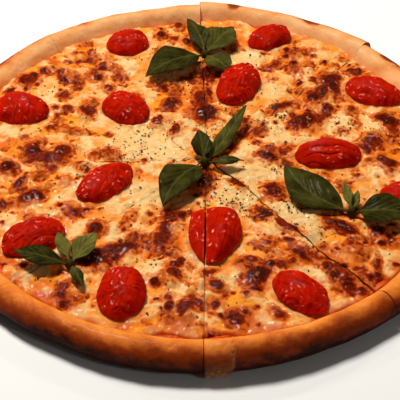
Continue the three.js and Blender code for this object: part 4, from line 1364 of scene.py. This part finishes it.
# %% [markdown]
# ## Tomato halves
# Each half lies cut side down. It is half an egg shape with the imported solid's slight waves, then
# its skin is drawn into folds: long grooves where it sank, and fine crinkles where it dried. The
# half in the front cut was pressed down and parted by the wheel, so it is made whole and cut with
# a plane.

# %% Tomato skin
TOMATO_AROUND = 190
TOMATO_UP = 64
CAD_LEVELS = [0, 0.22, 0.48, 0.74, 0.92]
CUT_LEAN = math.radians(0.5)


def tomato_skin(values, seed, pressed=False):
    """Points, faces and attributes of one tomato half."""
    cx, cy, length, width, turn, tall, taper, grooved, wrinkled = values
    steep = np.linspace(-0.09, 1, TOMATO_UP)[:, None] * np.pi / 2
    around = np.linspace(0, 2 * np.pi, TOMATO_AROUND, endpoint=False)[None, :]
    rise = np.sin(steep) + 0 * around
    level = np.interp(rise, CAD_LEVELS, range(5))
    wave = 0.018 * np.sin(5 * around + seed) + 0.022 * np.sin(3 * around - 2 * level + 2 * seed)
    girth = np.cos(steep) * (1 + wave * step(level, 0, 1))
    girth = girth * (1 - 0.07 * np.clip(1 - rise / 0.22, 0, 1.3) ** 2)
    along, across = np.cos(around) * girth, np.sin(around) * girth
    across = across * (1 + taper * along)
    sunk = 0.035 * np.cos(across * 7.5 + seed) * (1 - across**2) * step(level, 1, 2)
    up = rise * (1 + sunk)
    a, b, h = along * length / 2, across * width / 2, up * tall
    out = np.stack([along / length, across / width, 0.5 * rise / tall], -1)
    out = out / np.linalg.norm(out, axis=-1)[..., None]
    k = int(seed * 10) + 100
    bend = 2.2 * noise(a + 40, b + 40, 9, k)
    round_b = b + 0.6 * h * np.sign(b)
    phase = across * 2.7 + 0.45 * noise(a + 15, b + 15, 12, k) + 0.3 * seed
    groove = np.exp(-(np.sin(np.pi * phase) / 0.34) ** 2) * np.clip(1.15 - np.abs(along), 0, 1)
    crinkle = 1 - np.abs(noise(a * 0.6 + bend + 30, round_b + 30 - bend, 4.4, k + 2)) * 2.4
    crinkle = np.clip(crinkle, 0, 1) ** 1.3
    fine = 1 - np.abs(noise(a * 0.62 + 2 * bend + 20, round_b + 20, 1.9, k + 3)) * 2.2
    fine = np.clip(fine, 0, 1) ** 1.5
    cells = bubbles(a * 0.8 + bend + 50, round_b + 50, 2.4, k + 5)
    fade = step(rise, 0.0, 0.25)
    lift = fade * (wrinkled * (0.24 * (crinkle - 0.4) + 0.24 * (fine - 0.3) + 0.42 * (cells - 0.4))
                   - grooved * groove)
    lift = lift + 0.45 * fade * noise(a + 60, round_b + 60, 8, k + 4)
    # painted light and shade: crinkle crests lighter, grooves darker
    ridge_light_and_fold_shade = np.clip(0.65 - 0.6 * grooved * groove + 0.5 * wrinkled * (crinkle - 0.4)
                    + 0.25 * wrinkled * (cells - 0.4), 0, 1)
    spread = 15 * np.arccos(np.clip(rise, 0, 1)) / (np.hypot(a, b) + 1e-6)
    # painted highlights: short streaks on the upper skin that stand in for glints
    painted_skin_glint = strokes(50 + a * spread, 50 + b * spread, 3.3, k + 7) * step(rise, 0.15, 0.35)
    painted_skin_glint = painted_skin_glint * step(noise(a + 90, b + 90, 8, k + 8), 0.0, 0.25)
    c, s = cos_sin(turn)
    a, b, h = a + out[..., 0] * lift, b + out[..., 1] * lift, h + out[..., 2] * lift
    x, y = cx + a * c - b * s, cy + a * s + b * c
    if pressed:
        h = h * (1 - 0.45 * np.exp(-((x - CUT_CENTRE[0] + 0.4) / 4) ** 2))
    points = np.stack([x, y, TOPPING_FLOOR + h], -1).reshape(-1, 3)
    ring = np.arange(TOMATO_AROUND)
    after = (ring + 1) % TOMATO_AROUND
    faces = []
    last = (TOMATO_UP - 2) * TOMATO_AROUND
    for low in range(0, last, TOMATO_AROUND):
        high = low + TOMATO_AROUND
        faces.append(np.stack([low + ring, low + after, high + after], -1))
        faces.append(np.stack([low + ring, high + after, high + ring], -1))
    kept = last + TOMATO_AROUND
    crown, base = 0 * ring + kept, 0 * ring + kept + 1
    faces.append(np.stack([last + ring, last + after, crown], -1))
    faces.append(np.stack([after, ring, base], -1))
    points = np.concatenate([points[:kept], points[-1:], [points[:TOMATO_AROUND].mean(0)]])
    charts = {"ridge_light_and_fold_shade": np.concatenate([ridge_light_and_fold_shade.reshape(-1)[:kept], [0.5, 0.3]]),
              "painted_skin_glint": np.concatenate([painted_skin_glint.reshape(-1)[:kept], [0, 0]])}
    return points, np.concatenate(faces), charts

# %% [markdown]
# Every half gets its own seed, so no two have the same folds.

# %% Whole tomato halves
for number, (name, values) in enumerate(TOMATOES.items()):
    piece = build_mesh("tomato_half_" + name, *tomato_skin(values, 1.9 * number), TOMATO_FINISH)
    stand_for(piece, "tomato", "tomato_" + name)


print("whole tomato halves:", len(TOMATOES))

# %% [markdown]
# The wheel went through one half. It is made twice, each time cut by a plane along one side of the
# gap, and the flat cut is closed and shaded flat.

# %% The parted tomato half


def parted_tomato(name, side):
    """The part of the cut tomato half on one side (-1 or 1) of the front cut."""
    piece = build_mesh(name, *tomato_skin(CUT_TOMATO, 4, pressed=True), TOMATO_FINISH)
    across = Vector((math.cos(CUT_LEAN), -math.sin(CUT_LEAN), 0)) * side
    cut_x = CUT_CENTRE[0] + (CUT_TOMATO[1] - CUT_CENTRE[1]) * math.tan(CUT_LEAN)
    on_plane = Vector((cut_x, CUT_TOMATO[1], 0)) / 1000 + across * CUT_WIDTH / 2000
    shape = bmesh.new()
    shape.from_mesh(piece.data)
    cut = bmesh.ops.bisect_plane(shape, geom=shape.verts[:] + shape.edges[:] + shape.faces[:],
                                 plane_co=on_plane, plane_no=across, clear_inner=True)
    rim = [e for e in cut["geom_cut"] if isinstance(e, bmesh.types.BMEdge)]
    closing = bmesh.ops.triangle_fill(shape, edges=rim, use_beauty=True)
    for face in shape.faces:
        face.smooth = True
    for item in closing["geom"]:
        if isinstance(item, bmesh.types.BMFace):
            item.smooth = False
    bmesh.ops.recalc_face_normals(shape, faces=shape.faces[:])
    shape.to_mesh(piece.data)
    shape.free()
    return piece


for word, side in (("left", -1), ("right", 1)):
    piece = parted_tomato("tomato_half_parted_" + word, side)
    stand_for(piece, "tomato", "tomato_front_cut_" + word)
print("and one half in two parts")

# %% [markdown]
# ## Finish: basil
# Basil darkens in the oven's heat. The blade is dark green with a soft sheen, the midrib and the
# side veins are paler, and the back of a leaf is greyer and lighter.

# %% Basil finish


def make_basil_finish():
    material, tree = new_finish("basil_finish")
    patch, speckle = mottle(tree, 150.0, 0.3, 0.7), mottle(tree, 1100.0, 0.4, 0.7)
    front = mix(tree, patch, (0.008, 0.008, 0.001, 1), (0.030, 0.027, 0.0032, 1))
    back = mix(tree, patch, (0.12, 0.11, 0.018, 1), (0.19, 0.17, 0.036, 1))
    blade = mix(tree, share(tree, "pale"), front, back)
    blade = mix(tree, share(tree, "vein"), blade, (0.15, 0.13, 0.03, 1))
    blade = mix(tree, times(tree, speckle, 0.18), blade, (0.045, 0.032, 0.007, 1))
    set_shader(tree, Base_Color=blade, Roughness=calc(tree, "ADD", times(tree, patch, 0.15), 0.30),
               Coat_Weight=0.03, Coat_Roughness=0.08, Specular_IOR_Level=0.0,
               Normal=grain(tree, 900.0, 2600.0, 0.2, 0.35, 0.0003))
    return material


BASIL_FINISH = make_basil_finish()
print("made", BASIL_FINISH.name)

# %% [markdown]
# ## Basil sprigs
# The leaves of a sprig grow from one knob. A leaf is a thin sheet with two faces, folded up along
# its midrib, sunk along its veins and puckered between them, and wavy at its edge. It hangs over
# what lies under it, so a softened map of the cheese and the tomatoes gives the lowest level it may
# take.

# %% Basil sprigs
# name, x, y, knob height and leaves: turn, length, width, bend of the middle to the left, rise at
# root, middle and tip, pale share
SPRIGS = [
    ("back", 3, 95, 6.0, [
        (111, 32, 13, -2, 1, 5, 7, 0.1), (56, 31, 22, 0, 1, 4, 4, 0.3),
        (-52, 25, 17, 0, 1, 3.5, 2.5, 0.25), (-144, 44, 24, -1.5, 1, 5, 3, 0.05)]),
    ("middle", 3, -8, 7.0, [
        (99, 21, 12, 0, 2.5, 6, 8, 0.0), (61, 49, 10, 0, 0, 3, 9, 0.3),
        (-121, 43, 21, -3, 1, 5, 3, 0.1), (-3, 22, 7, 0, 1, 4, 4.5, 0.1)]),
    ("right", 81, -47, 7.0, [
        (134, 49, 24, 6, 0.5, 2.5, 5, 0.1), (103, 16, 5.5, 0, 3.2, 7, 9, 0.9),
        (72, 13, 5.5, 0, 1, 3.5, 6, 0.9), (-9, 34, 23, 0, 1, 5, 4, 0.0)]),
    ("left", -65, -88, 6.5, [
        (113, 20, 7.5, 0, 3, 6.5, 6, 0.9), (54, 22, 12, 0, 1, 6, 7, 0.9),
        (169, 30, 13, 0, 1, 4.5, 5.5, 0.0), (-64, 18, 6.5, 0, 1, 3.5, 2, 0.2)]),
]
LEAF_START = 1.5
LEAF_THICKNESS = 0.62
STALK_SHARE = 0.08
LEAF_FOLD = 0.3
SPRIG_LEVEL = 2.2
LEAF_FULLNESS = 0.78
LEAF_ROWS = 64
LEAF_COLUMNS = 36
KNOB_UP = 22
KNOB_AROUND = 33

lying = height.copy()
for tomato in ALL_TOMATOES:
    where = window(tomato[0], tomato[1], tomato[2] * 0.8)
    along, across = ellipse(X[where], Y[where], tomato)
    top = TOPPING_FLOOR + tomato[5] * np.sqrt(np.clip(1.15 - along**2 - across**2, 0, 1))
    raise_to(lying, where, np.where(along**2 + across**2 < 1.15, top, 0))
lying = soften(lying, 2.0) + 1.3


print("leaves:", sum(len(sprig[4]) for sprig in SPRIGS))

# %% [markdown]
# A leaf is a grid of points from root to tip. Its width swells and tapers, its veins lie in
# grooves, and the blade between them puckers up. Both faces share one relief.

# %% One leaf


def leaf_sheet(sprig_x, sprig_y, leaf, seed):
    turn, length, width, bend, root_rise, middle_rise, tip_rise, pale_share = leaf
    t = np.linspace(0, 1, LEAF_ROWS)[:, None]
    across = np.linspace(-1, 1, LEAF_COLUMNS)[None, :]
    blade = np.clip((t - STALK_SHARE) / (1 - STALK_SHARE), 0, 1)
    half = np.maximum(0.9 * (1 - t), np.sin(np.pi * blade**LEAF_FULLNESS) ** 0.9 * width / 2)
    half = half * (1 + 0.02 * np.sin(23 * t + seed))
    along = LEAF_START + t * (length - LEAF_START) + 0 * across
    b = across * half
    c, s = cos_sin(turn)
    aside = b + 4 * bend * t * (1 - t)
    x, y = sprig_x + along * c - aside * s, sprig_y + along * s + aside * c
    rise = root_rise + (tip_rise - root_rise) * t
    rise = rise + 4 * (middle_rise - (root_rise + tip_rise) / 2) * t * (1 - t)
    ripple = 0.6 * np.sin(9 * t + seed + 2 * across) * np.abs(across)
    ripple = ripple - 1.1 * np.abs(across) ** 3 * np.clip(half / 4, 0, 1)
    frill = 0.35 * np.sin(23 * t + 2 * seed + across) * np.abs(across) ** 3
    ripple = ripple + frill * min(1, width / 14)
    level = SEAT_HEIGHT + SPRIG_LEVEL + rise + LEAF_FOLD * np.abs(b) + ripple
    rest = look_up(lying, x, y)
    level = 0.5 * (level + rest + np.sqrt((level - rest) ** 2 + 0.6))
    full = np.clip(half / 4, 0, 1)
    spacing = max(5.0, length / 6.5)
    phase = (along - 2.3 * np.abs(b) + 0.07 * b**2 + 0.4 * spacing * (b > 0)) / spacing
    nearest = np.abs(phase - np.round(phase)) * spacing / 2
    side_vein = np.exp(-(nearest / 0.38) ** 2) * step(np.abs(across) + 0 * t, 0.97, 0.75)
    midrib = np.exp(-(b / 0.55) ** 2)
    pucker = 0.38 * np.abs(np.sin(np.pi * phase)) * (1 - np.abs(across) ** 3) * full
    relief = pucker - 0.14 * side_vein * full - 0.35 * midrib
    relief = relief + 0.12 * noise(x, y, 2.4, 110 + int(seed))
    thick = 0.5 * LEAF_THICKNESS * (1 - np.abs(across) ** 6) + 0.02 + 0.35 * midrib * (1 - t) ** 2
    thick = thick * (1 - 0.9 * t**12)
    upper = np.stack([x, y, level + relief + thick], -1).reshape(-1, 3)
    lower = np.stack([x, y, level + relief - thick], -1).reshape(-1, 3)
    vein = np.clip(0.35 * side_vein * full + 0.9 * midrib, 0, 1) * (0.4 + 0.3 * pale_share)
    # painted light and shade: the raised puckers are made paler and the dips between them darker
    shade = np.clip(pale_share + 0.22 * noise(x, y, 9, 111) + 0.2 * (pucker - 0.2), 0, 1)
    count = LEAF_ROWS * LEAF_COLUMNS
    top = grid_faces(LEAF_ROWS, LEAF_COLUMNS)[:, ::-1]
    faces = [top, top[:, ::-1] + count]
    ends = np.arange(LEAF_COLUMNS)
    sides = np.arange(LEAF_ROWS) * LEAF_COLUMNS
    loop = np.concatenate([ends, sides[1:] + LEAF_COLUMNS - 1, sides[-1] + ends[-2::-1],
                           sides[-2:0:-1]])
    after = np.roll(loop, -1)
    faces.append(np.stack([loop, after, after + count], -1))
    faces.append(np.stack([loop, after + count, loop + count], -1))
    charts = {"vein": np.tile(vein.reshape(-1), 2),
              "pale": np.concatenate([shade.reshape(-1), np.clip(shade.reshape(-1) + 0.7, 0, 1)])}
    return np.concatenate([upper, lower]), np.concatenate(faces), charts

# %% [markdown]
# The leaves and their knob are joined to one mesh per sprig, and points that lie in one place
# are merged, so that the sprig is closed all round.

# %% Sprigs


def knob_shape(x, y, tall):
    """The stem's end, a lumpy upright knob."""
    up = np.linspace(0, np.pi, KNOB_UP)[:, None]
    around = np.linspace(0, 2 * np.pi, KNOB_AROUND)[None, :]
    r = 2.3 * np.sin(up) * (1 + 0.12 * np.sin(4 * around) * np.sin(up))
    points = np.stack([x + r * np.cos(around), y + r * np.sin(around),
                       TOPPING_FLOOR + tall / 2 * (1 - np.cos(up)) + 0 * around], -1).reshape(-1, 3)
    green = np.full(len(points), 0.1)
    return points, grid_faces(KNOB_UP, KNOB_AROUND), {"vein": green, "pale": green}


def joined(parts):
    """One list of points, faces and attributes from several."""
    points, faces, charts = zip(*parts)
    offsets = np.cumsum([0] + [len(p) for p in points[:-1]])
    charts = {key: np.concatenate([chart[key] for chart in charts]) for key in charts[0]}
    return np.concatenate(points), np.concatenate([f + n for f, n in zip(faces, offsets)]), charts


def weld_and_turn_out(piece, gap=1e-6):
    """Merges doubled points and turns the faces outwards."""
    shape = bmesh.new()
    shape.from_mesh(piece.data)
    bmesh.ops.remove_doubles(shape, verts=shape.verts[:], dist=gap)
    bmesh.ops.dissolve_degenerate(shape, dist=gap / 10, edges=shape.edges[:])
    bmesh.ops.recalc_face_normals(shape, faces=shape.faces[:])
    shape.to_mesh(piece.data)
    shape.free()


for number, (name, x, y, tall, leaves) in enumerate(SPRIGS):
    parts = [leaf_sheet(x, y, leaf, 2.3 * number + 1.7 * k) for k, leaf in enumerate(leaves)]
    parts.append(knob_shape(x, y, tall))
    piece = build_mesh("basil_sprig_" + name, *joined(parts), BASIL_FINISH)
    weld_and_turn_out(piece)
    stand_for(piece, "basil", "basil_" + name)
print("sprigs:", len(SPRIGS))

# %% [markdown]
# ## Finish: dried herbs
# Rubbed oregano and basil go on before serving. The flakes are dark green to black-brown, dull, and
# every one is tinted a little differently, here by where it lies.

# %% Herb finish


def make_herb_finish():
    material, tree = new_finish("herb_finish")
    patch, speckle = mottle(tree, 260.0, 0.35, 0.65), mottle(tree, 1500.0, 0.4, 0.7)
    colour = mix(tree, patch, (0.012, 0.011, 0.003, 1), (0.050, 0.042, 0.010, 1))
    colour = mix(tree, times(tree, speckle, 0.4), colour, (0.09, 0.075, 0.025, 1))
    set_shader(tree, Base_Color=colour, Roughness=0.7, Specular_IOR_Level=0.3,
               Normal=grain(tree, 1500.0, 4000.0, 0.2, 0.4, 0.0002))
    return material


HERB_FINISH = make_herb_finish()
print("made", HERB_FINISH.name)

# %% [markdown]
# ## Herb flakes
# The flakes were scattered by hand, so they lie thick in some places and thin in others. A Geometry
# Nodes tree does the same: it draws seeded random points on a sheet that follows the top of the
# cheese, more of them where the sheet's density is high, and sets a flake with its own turn and
# size on each. One flake is a bent chip with a few faces, since hundreds of them are made.

# %% Flake and sheet
# middle x and y, reach, flakes per square millimetre
HERB_PLACES = [
    (-36, 14, 32, 0.11), (-28, 4, 15, 0.13), (-45, -5, 16, 0.15), (10, -30, 20, 0.22),
    (28, -42, 18, 0.15), (-12, 66, 14, 0.10), (-56, -30, 16, 0.10), (-62, -14, 12, 0.18),
    (30, 86, 18, 0.05), (45, 40, 18, 0.18), (38, 30, 14, 0.15), (82, 28, 18, 0.10),
    (58, -60, 18, 0.09), (16, 50, 18, 0.12), (70, 60, 24, 0.09), (-70, 70, 30, 0.05),
    (100, 20, 18, 0.09), (44, -8, 14, 0.18), (-90, -10, 30, 0.04), (10, 20, 20, 0.12),
    (50, -40, 12, 0.18),
]
DUSTING = 0.02
SHEET_STEP = 1.5
# piece, length, width and bend of one flake, share of the amount, smallest and largest, seed
HERB_KINDS = [
    ("herb_flakes", (1.15, 0.7, 0.2), 1.0e6, 0.45, 1.5, 7),
    ("herb_curls", (2.6, 1.0, 0.7), 0.05e6, 0.7, 1.3, 11),
]


def flake_mesh(name, length, width, bend):
    """A bent chip: two skins over a row of five ribs, pointed at its ends."""
    across = np.array([0.0, 0.7, 1.0, 0.8, 0.0]) * width / 2
    along = np.linspace(-0.5, 0.5, 5) * length
    arch = bend * (1 - (np.linspace(-1, 1, 5)) ** 2)
    points, faces = [], []
    for side in (1, -1):
        thick = 0.04 * side
        for k in range(5):
            points.append((along[k], across[k], arch[k] + thick))
            points.append((along[k], -across[k] * 0.8, arch[k] * 1.3 + thick))
    for k in range(4):
        a, b, c, d = 2 * k, 2 * k + 1, 2 * k + 3, 2 * k + 2
        faces += [(a, b, c), (a, c, d), (a + 10, c + 10, b + 10), (a + 10, d + 10, c + 10)]
        faces += [(a, d, d + 10), (a, d + 10, a + 10), (b, b + 10, c + 10), (b, c + 10, c)]
    faces += [(0, 10, 11), (0, 11, 1), (8, 9, 19), (8, 19, 18)]
    return build_mesh(name, points, np.array(faces), {}, HERB_FINISH)


def herb_sheet():
    """A sheet just above the cheese with the density of the flakes, clear of tomatoes and basil."""
    line = np.arange(-129, 130, SHEET_STEP)
    x, y = np.meshgrid(line, line)
    x, y = x.ravel(), y.ravel()
    density = DUSTING * (1 + 0.6 * noise(x, y, 25, 120))
    ragged = 5 * noise(x, y, 9, 121)
    for cx, cy, reach, thickness in HERB_PLACES:
        away = np.hypot(x - cx, y - cy) + ragged
        density = np.maximum(density, thickness * step(away, reach, 0.3 * reach))
    for tomato in ALL_TOMATOES:
        along, across = ellipse(x, y, tomato)
        density = density * step(np.hypot(along, across), 1.0, 1.12)
    density = density * (0.35 + 1.3 * step(noise(x, y, 5, 122), -0.3, 0.4)) * (np.hypot(x, y) < 127)
    faces = grid_faces(len(line), len(line))
    faces = faces[density[faces].max(1) > 0]
    points = np.stack([x, y, look_up(height, x, y) + 0.12], -1)
    return build_mesh("herb_sheet", points, faces, {"density": density}, HERB_FINISH)

# %% [markdown]
# The tree itself: points are spread by density, a flake is set on each, the flakes are made real
# and get their finish. Its inputs have names, so one tree serves both kinds of flake.

# %% Scattering tree


def scatter_tree():
    """Nodes that set flakes on a sheet, with inputs for the flake, the amount and the sizes."""
    group = bpy.data.node_groups.new("scatter_flakes", "GeometryNodeTree")
    sockets = give_inputs(group, [
        ("Sheet", "Geometry", None), ("Flake", "Object", None), ("Amount", "Float", 1.0),
        ("Smallest", "Float", 0.5), ("Largest", "Float", 1.5), ("Seed", "Int", 7),
        ("Finish", "Material", None)])
    group.interface.new_socket("Flakes", in_out="OUTPUT", socket_type="NodeSocketGeometry")
    given = group.nodes.new("NodeGroupInput").outputs
    density = add_node(group, "GeometryNodeInputNamedAttribute", {"data_type": "FLOAT"},
                       Name="density")
    per_metre = calc(group, "MULTIPLY", density.outputs["Attribute"], given["Amount"])
    spots = add_node(group, "GeometryNodeDistributePointsOnFaces", Mesh=given["Sheet"],
                     Density=per_metre, Seed=given["Seed"])
    flake = add_node(group, "GeometryNodeObjectInfo", Object=given["Flake"])
    tilt = add_node(group, "FunctionNodeRandomValue", {"data_type": "FLOAT_VECTOR"},
                    i0=(-0.5, -0.5, 0.0), i1=(0.5, 0.5, 6.283), Seed=3)
    size = add_node(group, "FunctionNodeRandomValue", {"data_type": "FLOAT"}, Min=given["Smallest"],
                    Max=given["Largest"], Seed=5)
    placed = add_node(group, "GeometryNodeInstanceOnPoints", Points=spots.outputs["Points"],
                      Instance=flake.outputs["Geometry"], Rotation=tilt.outputs["Value"],
                      Scale=size.outputs[1])
    real = add_node(group, "GeometryNodeRealizeInstances", Geometry=placed.outputs["Instances"])
    done = add_node(group, "GeometryNodeSetMaterial", Geometry=real.outputs["Geometry"],
                    Material=given["Finish"])
    group.links.new(done.outputs["Geometry"], group.nodes.new("NodeGroupOutput").inputs["Flakes"])
    return group, sockets


def grown(carrier, group, values, name):
    """The plain mesh that a Geometry Nodes tree makes from a carrier object."""
    modifier = carrier.modifiers.new("grow", "NODES")
    modifier.node_group = group
    for identifier, value in values.items():
        modifier[identifier] = value
    bpy.context.view_layer.update()
    result = carrier.evaluated_get(bpy.context.evaluated_depsgraph_get())
    mesh = bpy.data.meshes.new_from_object(result)
    mesh.name = name
    carrier.modifiers.clear()
    piece = bpy.data.objects.new(name, mesh)
    scene.collection.objects.link(piece)
    return piece

# %% [markdown]
# Small flat flakes lie thick, and a few larger curls lie between them.

# %% Herb flakes and curls
sheet = herb_sheet()
tree, inputs = scatter_tree()
for name, size, amount, smallest, largest, seed in HERB_KINDS:
    flake = flake_mesh("one_flake", *size)
    piece = grown(sheet, tree, {
        inputs["Flake"]: flake, inputs["Amount"]: amount, inputs["Smallest"]: smallest,
        inputs["Largest"]: largest, inputs["Seed"]: seed, inputs["Finish"]: HERB_FINISH}, name)
    bpy.data.objects.remove(flake)
    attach(piece, "root")
    print(name + ":", len(piece.data.vertices) // 20)
bpy.data.objects.remove(sheet)
